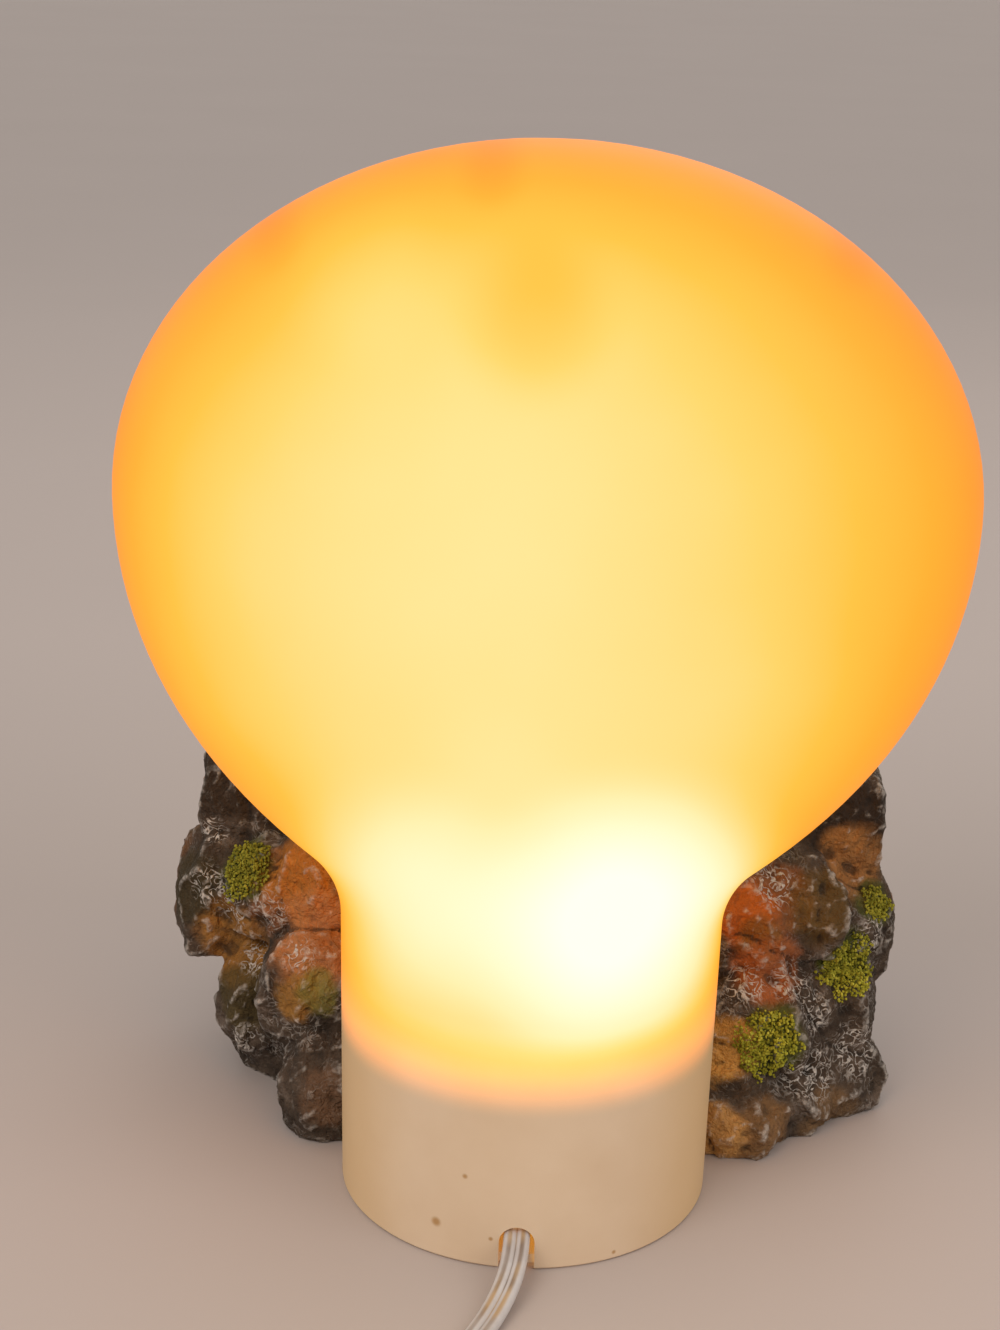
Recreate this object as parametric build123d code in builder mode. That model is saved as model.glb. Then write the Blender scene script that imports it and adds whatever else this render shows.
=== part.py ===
"""Night light: a lit hollow dome on a round neck, a rock ledge before it, a cord with a thumbwheel switch.

Millimetres, +Z up. The origin is on the neck's axis at table height. The cord leaves at the back, along -Y,
and the rock ledge stands at the front, along +Y.
"""
import math
import os

from build123d import *

# Shell
neck_top_radius = 38.6
neck_taper = 0.6
flare_radius = 22.0
dome_half_width = 82.8
dome_half_depth = 46.0
dome_centre_height = 145.0
crown_rise = 68.2
shell_wall = 4.0
foot_wall = 2.5
flare_steps = 2
dome_steps = 8
neck_foot_radius = neck_top_radius - neck_taper

# Arched notch for the cord
notch_width = 7.0
notch_height = 9.5
notch_reach = 3

# Plate under the lit space
glow_line_height = 36.6
plate_thickness = 2.5
plate_clearance = 0.2

# Press-in cover of the foot
cover_thickness = 2.0
cover_rim_height = 7.0
cover_rim_wall = 1.6
cover_clearance = 0.1
cover_gap_angle = 40.0

# Clip-in lampholder
lamp_offset = 14.0
socket_radius = 11.0
socket_stand = 9.4
socket_length = 26.0
socket_floor = 3.0
socket_flange_radius = 14.0
socket_flange_thickness = 2.5
socket_clearance = 0.4
thread_radius = 6.05
thread_wall = 0.4
thread_length = 12.0
thread_setback = 1.0
thread_clearance = 0.1
clip_width = 6.0
clip_thickness = 0.5
clip_spread = 2.2
clip_setback = 1.0
clip_count = 2
contact_width = 4.0
contact_thickness = 0.5

# Bulb
cap_clearance = 0.1
cap_wall = 0.3
cap_length = 14.0
cap_proud = 0.5
insulator_height = 2.5
insulator_radius = 2.5
tip_radius = 2.2
tip_height = 1.2
glass_seat = 4.0
glass_length = 40.0
glass_radius = 11.0
glass_neck_radius = 5.5
glass_shoulder_share = 0.86
glass_shoulder_rise = 6.0
glass_belly_rise = 12.0
glass_tip_radius = 4.0
glass_tip_lean = 35.0
glass_wall = 0.7
stem_radius = 2.0
stem_length = 15.0
stem_clearance = 0.05
lead_radius = 0.35
lead_spacing = 2.4
lead_length = 9.0
filament_span = 10.0
filament_radius = 0.5

# Rock ledge
rock_reach = 84.0
rock_clearance = 0.3
boulder_sides = 9
boulder_roughness = 0.11
boulder_wave = 2.6
boulder_wave_turns = 3
boulder_levels = ((0.0, 0.9), (0.32, 1.0), (0.62, 0.92), (0.85, 0.68), (1.0, 0.36))
# One boulder a row, as shares of the ledge's reach: centre x and y, foot height, half-widths along x
# and y, and height, then its turn in degrees
boulders = (
    (0.000, 0.690, 0.000, 0.714, 0.429, 0.548, 30),
    (-0.536, 0.631, 0.000, 0.310, 0.345, 0.476, 10),
    (-0.524, 0.595, 0.405, 0.286, 0.286, 0.310, 35),
    (-0.810, 0.643, 0.310, 0.190, 0.214, 0.357, 75),
    (-0.714, 0.726, 0.571, 0.226, 0.238, 0.405, 20),
    (-0.500, 0.238, 0.000, 0.155, 0.202, 0.262, 50),
    (-0.548, 0.357, 0.214, 0.179, 0.190, 0.286, 15),
    (-0.702, 0.488, 0.095, 0.155, 0.167, 0.286, 40),
    (-0.679, 0.524, 0.405, 0.155, 0.167, 0.262, 5),
    (-0.536, 0.452, 0.476, 0.155, 0.167, 0.286, 60),
    (0.619, 0.571, 0.000, 0.286, 0.333, 0.500, 65),
    (0.595, 0.571, 0.429, 0.262, 0.286, 0.286, 40),
    (0.786, 0.631, 0.310, 0.179, 0.214, 0.333, 15),
    (0.726, 0.726, 0.571, 0.214, 0.238, 0.405, 85),
    (0.524, 0.250, 0.000, 0.167, 0.202, 0.190, 20),
    (0.667, 0.512, 0.000, 0.310, 0.286, 0.214, 50),
    (0.583, 0.369, 0.155, 0.190, 0.190, 0.286, 70),
    (0.774, 0.488, 0.167, 0.155, 0.155, 0.262, 30),
    (0.548, 0.429, 0.405, 0.167, 0.167, 0.286, 10),
    (0.869, 0.595, 0.405, 0.095, 0.107, 0.167, 0),
    (-0.417, 0.988, 0.000, 0.321, 0.214, 0.440, 55),
    (0.369, 1.024, 0.000, 0.298, 0.202, 0.369, 5),
    (-0.024, 1.071, 0.000, 0.226, 0.167, 0.262, 40),
    (0.643, 0.333, 0.000, 0.167, 0.167, 0.179, 65),
)
# Chiselled faces of every boulder: heading and tilt in degrees, and the share of the boulder's reach left.
# A boulder's own turn counts this many times over in their headings.
chisel_turns = 2
chisel_cuts = (
    (0.0, 36.0, 0.85),
    (75.0, 12.0, 0.9),
    (150.0, 52.0, 0.86),
    (215.0, 24.0, 0.86),
    (290.0, 44.0, 0.84),
)

# Moss pads: the boulder that carries each, then its centre and reach as shares of the ledge's reach
moss_swell = 1.09
moss_places = (
    (8, -0.756, 0.429, 0.595, 0.077),
    (16, 0.607, 0.208, 0.274, 0.107),
    (17, 0.821, 0.417, 0.405, 0.086),
    (19, 0.899, 0.524, 0.536, 0.06),
)

# Flat twin cord
cord_width = 5.2
cord_thickness = 2.7
cord_edge_cut = 0.75
cord_clearance = 0.2
cord_exit_height = 7.2
cord_lying_height = 1.4
corner_share = 0.45
twist_length = 26.0
twist_steps = 4

# Thumbwheel switch on the cord
switch_start = (-16.0, -92.0)
switch_heading = -105.0
switch_length = 56.0
switch_width = 18.0
switch_end_width = 10.0
switch_height = 12.0
switch_edge_radius = 1.5
switch_corner_radius = 2.0
switch_cord_depth = 9.0
switch_cord_lead = 9.0
switch_cord_sag = 0.4
wheel_radius = 11.2
wheel_thickness = 5.5
wheel_side_gap = 0.4
wheel_rim_gap = 0.6
wheel_notches = 24
wheel_notch_radius = 0.7
axle_radius = 1.2
axle_seat = 1.6
axle_running_gap = 0.05
axle_fit_gap = 0.02
leaf_length = 8.0
leaf_width = 4.0
leaf_thickness = 0.6
leaf_recess = 0.8
leaf_fit_gap = 0.2
leaf_offset = 6.0
screw_offset = 15.5
screw_radius = 1.2
screw_head_radius = 2.4
screw_head_height = 1.4
screw_recess = 0.4
screw_bite = 3.5
screw_clearance = 0.15

# Put-away coil
coil_start_x = 31.0
coil_start_y = -191.0
coil_turns = 8.25
coil_middle_radius = 31.0
coil_pitch = 3.7
coil_layer = 6.1
coil_dip = 2.0
coil_lift = 0.9
coil_samples = 48
coil_heading_step = 0.01
tie_width = 4.0
tie_thickness = 0.6
tie_clearance = 0.3
tie_angle = 90.0

# Plug
plug_length = 30.0
plug_width = 25.0
plug_thickness = 14.0
plug_neck_width = 10.0
plug_neck_thickness = 7.0
plug_corner_radius = 2.5
# Shares of the plug's length, width and thickness, one section a row
plug_swell = ((0.4, 0.72, 0.8), (0.7, 0.97, 1.0), (1.0, 1.0, 1.0))
blade_spacing = 12.7
blade_length = 17.0
blade_widths = (6.3, 7.9)
blade_thickness = 1.5
blade_hole_radius = 1.5
blade_hole_setback = 4.0

os.makedirs("parts", exist_ok=True)


# Shared helpers
def keep(builder, name):
    """Labels a finished piece and writes it to its file."""
    builder.part.label = name
    export_step(builder.part, f"parts/{name}.step")


def shell_levels(inset):
    """Heights and half-widths from the neck's top to the widest level, drawn in by inset."""
    neck = neck_top_radius - inset
    flare = flare_radius + inset
    dome = dome_half_width - inset
    drop = math.sqrt((dome + flare) ** 2 - (neck + flare) ** 2)
    meet = math.atan2(drop, neck + flare)
    levels = []
    for step in range(flare_steps):
        angle = meet * step / flare_steps
        height = dome_centre_height - drop + flare * math.sin(angle)
        levels.append((height, neck + flare - flare * math.cos(angle)))
    for step in range(dome_steps + 1):
        angle = meet * (1 - step / dome_steps)
        levels.append((dome_centre_height - dome * math.sin(angle), dome * math.cos(angle)))
    return levels


def crown_form(inset):
    """Half ellipsoid that closes the dome above its widest level, with its centre at the origin."""
    half_width = dome_half_width - inset
    with BuildPart() as crown:
        Sphere(half_width, arc_size1=0, align=(Align.CENTER, Align.CENTER, Align.MIN))
        scale(by=(1, (dome_half_depth - inset) / half_width, (crown_rise - inset) / half_width))
    return crown.part


def shell_form(inset):
    """Neck, flare and dome as one solid, drawn in by inset from every side wall."""
    levels = shell_levels(inset)
    flare_start = levels[0][0]
    neck = neck_top_radius - inset
    widening = dome_half_depth - neck_top_radius
    crown = crown_form(inset)
    with BuildPart() as form:
        with BuildSketch():
            Circle(neck_foot_radius - inset)
        with BuildSketch(Plane.XY.offset(flare_start)):
            Circle(neck)
        loft()
        for height, half_width in levels:
            share = (height - flare_start) / (dome_centre_height - flare_start)
            half_depth = neck + widening * (1 - math.cos(math.pi * share)) / 2
            with BuildSketch(Plane.XY.offset(height)):
                Ellipse(half_width, half_depth)
        loft()
        with Locations((0, 0, dome_centre_height)):
            add(crown)
    return form.part


def boulder(x, y, foot, half_x, half_y, height, turn):
    """One boulder: flat faces between scaled copies of an uneven polygon, with chiselled shoulders."""
    corners = []
    for side in range(boulder_sides):
        angle = 2 * math.pi * side / boulder_sides + math.radians(turn)
        wave = boulder_wave * side + boulder_wave_turns * math.radians(turn)
        reach = 1 + boulder_roughness * math.sin(wave)
        corners.append((half_x * reach * math.cos(angle), half_y * reach * math.sin(angle)))
    with BuildPart() as lump:
        for rise, spread in boulder_levels:
            with BuildSketch(Plane.XY.offset(foot + rise * height)):
                with Locations((x, y)):
                    Polygon(*[(spread * cx, spread * cy) for cx, cy in corners], align=None)
        loft(ruled=True)
        for heading, tilt, share in chisel_cuts:
            level = Vector(1, 0, 0).rotate(Axis.Y, -tilt)
            facing = level.rotate(Axis.Z, heading + chisel_turns * turn)
            reach = Vector(facing.X * half_x, facing.Y * half_y, facing.Z * height / 2).length
            middle = Vector(x, y, foot + height / 2)
            split(bisect_by=Plane(middle + facing * reach * share, z_dir=facing), keep=Keep.BOTTOM)
    return lump.part


def moss_pad(number, x, y, z, reach):
    """One pad before it is cut to the rock: a patch of its boulder, swollen by the pad's thickness."""
    *shares, turn = boulders[number]
    place_x, place_y, foot, half_x, half_y, height = [share * rock_reach for share in shares]
    foot -= height * (moss_swell - 1) / 2
    half_x, half_y, height = [size * moss_swell for size in (half_x, half_y, height)]
    with BuildPart() as pad:
        add(boulder(place_x, place_y, foot, half_x, half_y, height, turn))
        with Locations((x, y, z)):
            Sphere(reach, mode=Mode.INTERSECT)
    return pad.part


def cord_outline():
    """Corners of the flat cord's section: its width along x, with cut edges."""
    half_width = cord_width / 2
    half_thickness = cord_thickness / 2
    flat = half_width - cord_edge_cut
    side = half_thickness - cord_edge_cut
    return (
        (half_width, -side), (half_width, side), (flat, half_thickness), (-flat, half_thickness),
        (-half_width, side), (-half_width, -side), (-flat, -half_thickness), (flat, -half_thickness),
    )


def corner_radii(name, points):
    """Bend radii of a route: as large as the shorter run at each corner leaves room for."""
    radii = []
    for before, corner, after in zip(points, points[1:], points[2:]):
        run_in = Vector(*corner) - Vector(*before)
        run_out = Vector(*after) - Vector(*corner)
        half_turn = math.radians(run_in.get_angle(run_out)) / 2
        radii.append(corner_share * min(run_in.length, run_out.length) / math.tan(half_turn))
    print(name, "bend radii", [round(radius, 1) for radius in radii])
    return radii


def cord_stretch(name, points, width_direction):
    """Flat cord swept along a route of straight runs and tangent arcs."""
    start = Vector(*points[0])
    with BuildPart() as stretch:
        with BuildLine() as route:
            FilletPolyline(*points, radius=corner_radii(name, points))
        first_run = Vector(*points[1]) - start
        with BuildSketch(Plane(start, x_dir=width_direction, z_dir=first_run)):
            Polygon(*cord_outline(), align=None)
        sweep()
    section = Face(Wire.make_polygon([Vector(*corner) for corner in cord_outline()])).area
    length = route.wires()[0].length
    fill = stretch.part.volume / (section * length)
    print(name, "length", round(length, 1), "volume against section", round(fill, 3))
    return stretch.part


def cord_twist(start, end, first_turn, last_turn):
    """Short straight stretch of flat cord that turns on itself between two angles from the level."""
    run = Vector(*end) - Vector(*start)
    ahead = Vector(run.X, run.Y, 0).normalized()
    level = ahead.cross(Vector(0, 0, 1))
    with BuildPart() as twist:
        for step in range(twist_steps + 1):
            share = step / twist_steps
            turn = math.radians(first_turn + (last_turn - first_turn) * share)
            across = level * math.cos(turn) + Vector(0, 0, math.sin(turn))
            with BuildSketch(Plane(Vector(*start) + run * share, x_dir=across, z_dir=ahead)):
                Polygon(*cord_outline(), align=None)
        loft(ruled=True)
    return twist.part


# Shell: one hollow casting
lamp_cavity = shell_form(shell_wall)
foot_bore_radius = neck_foot_radius - foot_wall
with BuildPart() as lamp_shell:
    add(shell_form(0))
    add(lamp_cavity, mode=Mode.SUBTRACT)
    # Wider bore under the plate, which leaves the ledge that the plate rests against
    with BuildSketch():
        Circle(foot_bore_radius)
    extrude(amount=glow_line_height, mode=Mode.SUBTRACT)
    # Arched notch at the back of the foot
    arch_height = notch_height - notch_width / 2
    with BuildSketch(Plane.XZ.offset(foot_bore_radius - foot_wall)):
        Rectangle(notch_width, arch_height, align=(Align.CENTER, Align.MIN))
        with Locations((0, arch_height)):
            Circle(notch_width / 2)
    extrude(amount=notch_reach * foot_wall, mode=Mode.SUBTRACT)
keep(lamp_shell, "lamp_shell")

# Rock ledge: piled boulders cut to the shell
with BuildPart() as rock_base:
    for *shares, turn in boulders:
        add(boulder(*[share * rock_reach for share in shares], turn))
    add(shell_form(-rock_clearance), mode=Mode.SUBTRACT)
keep(rock_base, "rock_base")

# Moss glued on the rock
with BuildPart() as moss_pads:
    for number, *shares in moss_places:
        add(moss_pad(number, *[share * rock_reach for share in shares]))
    add(rock_base.part, mode=Mode.SUBTRACT)
    add(shell_form(-rock_clearance), mode=Mode.SUBTRACT)
keep(moss_pads, "moss_pads")

# Plate under the lit space
plate_underside = glow_line_height - plate_thickness
with BuildPart() as lamp_plate:
    with BuildSketch(Plane.XY.offset(plate_underside)):
        Circle(foot_bore_radius - plate_clearance)
        with Locations((lamp_offset, 0)):
            Circle(socket_radius + socket_clearance, mode=Mode.SUBTRACT)
    extrude(amount=plate_thickness)
keep(lamp_plate, "lamp_plate")

# Press-in cover: a disc with a gripping rim, open at the cord
cover_rim_radius = foot_bore_radius - cover_clearance
with BuildPart() as base_cover:
    with BuildSketch():
        Circle(cover_rim_radius)
    extrude(amount=cover_thickness)
    with BuildSketch(Plane.XY.offset(cover_thickness)):
        Circle(cover_rim_radius)
        Circle(cover_rim_radius - cover_rim_wall, mode=Mode.SUBTRACT)
        gap_half = cover_rim_radius * math.sin(math.radians(cover_gap_angle / 2))
        with Locations((0, -cover_rim_radius)):
            Rectangle(2 * gap_half, cover_rim_radius, mode=Mode.SUBTRACT)
    extrude(amount=cover_rim_height)
keep(base_cover, "base_cover")

# Lampholder, all about one upright axis
lamp_axis = Axis((lamp_offset, 0, 0), (0, 0, 1))
lamp_section = Plane((lamp_offset, 0, 0), x_dir=(1, 0, 0), z_dir=(0, -1, 0))
socket_rim = glow_line_height + socket_stand
socket_foot = socket_rim - socket_length
bore_floor = socket_foot + socket_floor
bore_radius = thread_radius + thread_wall + thread_clearance
cord_hole_radius = cord_width / 2 + cord_clearance
with BuildPart() as socket_body:
    with BuildSketch(lamp_section):
        with BuildLine():
            Polyline(
                (cord_hole_radius, socket_foot), (socket_radius, socket_foot),
                (socket_radius, plate_underside - socket_flange_thickness),
                (socket_flange_radius, plate_underside - socket_flange_thickness),
                (socket_flange_radius, plate_underside), (socket_radius, plate_underside),
                (socket_radius, socket_rim), (bore_radius, socket_rim), (bore_radius, bore_floor),
                (cord_hole_radius, bore_floor), close=True)
        make_face()
    revolve(axis=lamp_axis)
keep(socket_body, "socket_body")

# Spring clips that catch the plate's upper face
clip_top = socket_rim - clip_setback
with BuildPart() as socket_clips:
    for number in range(clip_count):
        angle = 2 * math.pi * number / clip_count + math.pi / 2
        out = Vector(math.cos(angle), math.sin(angle), 0)
        side = Plane((lamp_offset, 0, 0), x_dir=out, z_dir=out.cross(Vector(0, 0, 1)))
        with BuildSketch(side):
            with BuildLine():
                Polyline(
                    (socket_radius, clip_top), (socket_radius + clip_thickness, clip_top),
                    (socket_radius + clip_spread + clip_thickness, glow_line_height),
                    (socket_radius + clip_spread, glow_line_height), close=True)
            make_face()
        extrude(amount=clip_width / 2, both=True)
keep(socket_clips, "socket_clips")

thread_top = socket_rim - thread_setback
with BuildPart() as socket_thread_shell:
    with BuildSketch(Plane((lamp_offset, 0, thread_top - thread_length))):
        Circle(thread_radius + thread_wall)
        Circle(thread_radius, mode=Mode.SUBTRACT)
    extrude(amount=thread_length)
keep(socket_thread_shell, "socket_thread_shell")

# Bulb cap, with its insulator and tip below
cap_radius = thread_radius - cap_clearance
cap_top = socket_rim + cap_proud
cap_foot = cap_top - cap_length
insulator_foot = cap_foot - insulator_height
tip_foot = insulator_foot - tip_height
with BuildPart() as bulb_cap:
    with BuildSketch(Plane((lamp_offset, 0, cap_foot))):
        Circle(cap_radius)
        Circle(cap_radius - cap_wall, mode=Mode.SUBTRACT)
    extrude(amount=cap_length)
keep(bulb_cap, "bulb_cap")

with BuildPart() as bulb_insulator:
    with BuildSketch(Plane((lamp_offset, 0, insulator_foot))):
        Circle(insulator_radius)
    with BuildSketch(Plane((lamp_offset, 0, cap_foot))):
        Circle(cap_radius)
    loft()
keep(bulb_insulator, "bulb_insulator")

with BuildPart() as bulb_tip:
    with BuildSketch(Plane((lamp_offset, 0, tip_foot))):
        Circle(tip_radius)
    extrude(amount=tip_height)
    chamfer(bulb_tip.edges().group_by(Axis.Z)[0], tip_height / 2)
keep(bulb_tip, "bulb_tip")

# Sprung centre contact: a folded strip between the bore's floor and the bulb's tip
contact_reach = bore_radius - contact_thickness
with BuildPart() as socket_centre_contact:
    with BuildSketch(lamp_section):
        with BuildLine():
            Polyline(
                (cord_hole_radius, bore_floor), (contact_reach, bore_floor),
                (contact_reach, tip_foot), (-tip_radius, tip_foot),
                (-tip_radius, tip_foot - contact_thickness),
                (contact_reach - contact_thickness, tip_foot - contact_thickness),
                (contact_reach - contact_thickness, bore_floor + contact_thickness),
                (cord_hole_radius, bore_floor + contact_thickness), close=True)
        make_face()
    extrude(amount=contact_width / 2, both=True)
keep(socket_centre_contact, "socket_centre_contact")


def glass_form(inset):
    """Flame-shaped envelope of the bulb, drawn in by inset, on its foot at the cap."""
    foot = cap_top - glass_seat
    neck = glass_neck_radius - inset
    top = foot + glass_length - inset
    tip = glass_tip_radius - inset
    shoulder = (glass_radius - inset) * glass_shoulder_share
    lean = math.radians(glass_tip_lean)
    half_lean = math.pi / 4 + lean / 2
    tip_start = (tip * math.cos(lean), top - tip + tip * math.sin(lean))
    tip_middle = (tip * math.cos(half_lean), top - tip + tip * math.sin(half_lean))
    with BuildPart() as envelope:
        with BuildSketch(lamp_section):
            with BuildLine():
                Line((0, foot), (neck, foot))
                Line((neck, foot), (neck, cap_top))
                Line((neck, cap_top), (shoulder, cap_top + glass_shoulder_rise))
                ThreePointArc(
                    (shoulder, cap_top + glass_shoulder_rise),
                    (glass_radius - inset, cap_top + glass_belly_rise), tip_start)
                ThreePointArc(tip_start, tip_middle, (0, top))
                Line((0, top), (0, foot))
            make_face()
        revolve(axis=lamp_axis)
    return envelope.part


with BuildPart() as bulb_glass:
    add(glass_form(0))
    add(glass_form(glass_wall), mode=Mode.SUBTRACT)
keep(bulb_glass, "bulb_glass")

# Glass stem: a flared foot in the envelope's neck and a rod that holds the leads
stem_foot = cap_top - glass_seat
stem_top = stem_foot + stem_length
stem_flare = glass_neck_radius - glass_wall - stem_clearance
with BuildPart() as bulb_stem:
    with BuildSketch(lamp_section):
        with BuildLine():
            Polyline(
                (0, stem_foot), (stem_flare, stem_foot), (stem_flare, stem_foot + glass_wall),
                (stem_radius, stem_foot + glass_seat), (stem_radius, stem_top), (0, stem_top), close=True)
        make_face()
    revolve(axis=lamp_axis)
keep(bulb_stem, "bulb_stem")

lead_top = stem_top + lead_length
lead_step = lead_length / 4
with BuildPart() as bulb_leads:
    for hand in (-1, 1):
        foot_x = lamp_offset + hand * lead_spacing / 2
        top_x = lamp_offset + hand * filament_span / 2
        with BuildLine():
            FilletPolyline(
                (foot_x, 0, stem_top), (foot_x, 0, stem_top + lead_step),
                (top_x, 0, lead_top - lead_step), (top_x, 0, lead_top), radius=2 * lead_radius)
        with BuildSketch(Plane((foot_x, 0, stem_top))):
            Circle(lead_radius)
        sweep()
keep(bulb_leads, "bulb_leads")

with BuildPart() as bulb_filament:
    filament_end = filament_span / 2 + filament_radius
    filament_plane = Plane((lamp_offset, 0, lead_top + filament_radius), x_dir=(0, 1, 0), z_dir=(1, 0, 0))
    with BuildSketch(filament_plane):
        Circle(filament_radius)
    extrude(amount=filament_end, both=True)
keep(bulb_filament, "bulb_filament")

# Cord inside the foot, from the lampholder to the notch
joint_y = foot_wall / 2 - neck_foot_radius
inside_route = (
    (lamp_offset, 0, socket_foot + socket_floor / 2),
    (lamp_offset, 0, socket_foot - cord_width),
    (0.82 * lamp_offset, 0.19 * joint_y, socket_foot - 2.0 * cord_width),
    (0.46 * lamp_offset, 0.46 * joint_y, 1.17 * cord_exit_height),
    (0.08 * lamp_offset, 0.755 * joint_y, 1.14 * cord_exit_height),
    (0, 0.89 * joint_y, 1.1 * cord_exit_height),
    (0, joint_y, cord_exit_height),
)
with BuildPart() as cord_inside:
    add(cord_stretch("cord_inside", inside_route, (7.0, -2.5, 0)))
keep(cord_inside, "cord_inside")

# Free cord from the notch to the switch
heading = Vector(math.cos(math.radians(switch_heading)), math.sin(math.radians(switch_heading)), 0)
switch_middle_height = switch_height / 2
switch_entry = Vector(*switch_start, switch_middle_height)
switch_exit = switch_entry + heading * switch_length
switch_sag = Vector(0, 0, -switch_cord_sag)
lamp_side_route = (
    (0, joint_y, cord_exit_height),
    (0, joint_y - 1.1 * cord_width, 0.86 * cord_exit_height),
    (-1.2, -48.8, 3.7),
    (-3.8, -56.0, 1.6),
    (-7.2, -64.6, cord_lying_height),
    (-10.4, -74.0, 3.2),
    tuple(switch_entry - heading * switch_cord_lead + switch_sag),
    tuple(switch_entry),
    tuple(switch_entry + heading * switch_cord_depth),
)
with BuildPart() as cord_lamp_side:
    add(cord_stretch("cord_lamp_side", lamp_side_route, (1, 0, 0)))
keep(cord_lamp_side, "cord_lamp_side")

# Switch: two halves, one wheel between them
switch_middle = switch_entry + heading * (switch_length / 2)
switch_plane = Plane((switch_middle.X, switch_middle.Y, 0), x_dir=heading, z_dir=(0, 0, 1))
pocket_floor = switch_middle_height - wheel_thickness / 2 - wheel_side_gap


def switch_half(side):
    """One half of the switch's housing: side is -1 under the joint and 1 above it."""
    half_length = switch_length / 2
    half_end = switch_end_width / 2
    with BuildPart() as half:
        with BuildSketch(switch_plane.offset(switch_middle_height)) as outline:
            with BuildLine():
                ThreePointArc((-half_length, -half_end), (0, -switch_width / 2), (half_length, -half_end))
                Line((half_length, -half_end), (half_length, half_end))
                ThreePointArc((half_length, half_end), (0, switch_width / 2), (-half_length, half_end))
                Line((-half_length, half_end), (-half_length, -half_end))
            make_face()
            fillet(outline.vertices(), switch_corner_radius)
        extrude(amount=side * switch_middle_height)
        outer_face = half.faces().sort_by(Axis.Z)[0 if side < 0 else -1]
        fillet(outer_face.edges(), switch_edge_radius)
        # Room for the wheel, open at both sides
        with BuildSketch(switch_plane.offset(switch_middle_height)):
            Circle(wheel_radius + wheel_rim_gap)
        extrude(amount=side * (wheel_thickness / 2 + wheel_side_gap), mode=Mode.SUBTRACT)
        # Seat of the axle
        with BuildSketch(switch_plane.offset(switch_middle_height)):
            Circle(axle_radius + axle_fit_gap)
        extrude(amount=side * (axle_length / 2), mode=Mode.SUBTRACT)
        # Channels for the cord's two ends
        channel_middle = half_length - switch_cord_depth / 2
        with BuildSketch(switch_plane.offset(switch_middle_height)):
            with Locations((-channel_middle, 0), (channel_middle, 0)):
                Rectangle(switch_cord_depth, cord_width + 2 * cord_clearance)
        extrude(amount=side * (cord_thickness / 2 + cord_clearance), mode=Mode.SUBTRACT)
    return half.part


axle_length = wheel_thickness + 2 * (wheel_side_gap + axle_seat)
screw_top = switch_middle_height + screw_bite
head_top = screw_recess + screw_head_height
screw_places = ((-screw_offset, 0), (screw_offset, 0))
leaf_places = ((-leaf_offset, 0), (leaf_offset, 0))
with BuildPart() as switch_base:
    add(switch_half(-1))
    with BuildSketch(switch_plane):
        with Locations(*screw_places):
            Circle(screw_head_radius + screw_clearance)
    extrude(amount=head_top, mode=Mode.SUBTRACT)
    with BuildSketch(switch_plane):
        with Locations(*screw_places):
            Circle(screw_radius + screw_clearance)
    extrude(amount=switch_middle_height, mode=Mode.SUBTRACT)
    with BuildSketch(switch_plane.offset(pocket_floor)):
        with Locations(*leaf_places):
            Rectangle(leaf_length + leaf_fit_gap, leaf_width + leaf_fit_gap)
    extrude(amount=-leaf_recess, mode=Mode.SUBTRACT)
keep(switch_base, "switch_base")

with BuildPart() as switch_cover:
    add(switch_half(1))
    with BuildSketch(switch_plane.offset(switch_middle_height)):
        with Locations(*screw_places):
            Circle(screw_radius + axle_fit_gap)
    extrude(amount=screw_bite, mode=Mode.SUBTRACT)
keep(switch_cover, "switch_cover")

with BuildPart() as switch_screws:
    with BuildSketch(switch_plane.offset(screw_recess)):
        with Locations(*screw_places):
            Circle(screw_head_radius)
    extrude(amount=screw_head_height)
    with BuildSketch(switch_plane.offset(head_top)):
        with Locations(*screw_places):
            Circle(screw_radius)
    extrude(amount=screw_top - head_top)
keep(switch_screws, "switch_screws")

with BuildPart() as switch_contacts:
    with BuildSketch(switch_plane.offset(pocket_floor - leaf_recess)):
        with Locations(*leaf_places):
            Rectangle(leaf_length, leaf_width)
    extrude(amount=leaf_thickness)
keep(switch_contacts, "switch_contacts")

with BuildPart() as switch_axle:
    with BuildSketch(switch_plane.offset(switch_middle_height)):
        Circle(axle_radius)
    extrude(amount=axle_length / 2, both=True)
keep(switch_axle, "switch_axle")

with BuildPart() as switch_wheel:
    with BuildSketch(switch_plane.offset(switch_middle_height)):
        Circle(wheel_radius)
        Circle(axle_radius + axle_running_gap, mode=Mode.SUBTRACT)
        with PolarLocations(wheel_radius, wheel_notches):
            Circle(wheel_notch_radius, mode=Mode.SUBTRACT)
    extrude(amount=wheel_thickness / 2, both=True)
keep(switch_wheel, "switch_wheel")

# Free cord from the switch to the coil, turned on edge before the first loop
coil_height = coil_lift + cord_width / 2
twist_start = (coil_start_x - twist_length, coil_start_y, cord_lying_height)
switch_side_route = (
    tuple(switch_exit - heading * switch_cord_depth),
    tuple(switch_exit),
    tuple(switch_exit + heading * switch_cord_lead + switch_sag),
    (-32.4, -164.8, 4.2),
    (-29.0, -174.3, 2.2),
    (-22.8, -182.2, cord_lying_height),
    (-14.6, -188.0, cord_lying_height),
    (-5.0, coil_start_y, cord_lying_height),
    twist_start,
)
with BuildPart() as cord_switch_side:
    add(cord_stretch("cord_switch_side", switch_side_route, heading.cross(Vector(0, 0, 1))))
    add(cord_twist(twist_start, (coil_start_x, coil_start_y, coil_height), 0, 90))
keep(cord_switch_side, "cord_switch_side")

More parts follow.
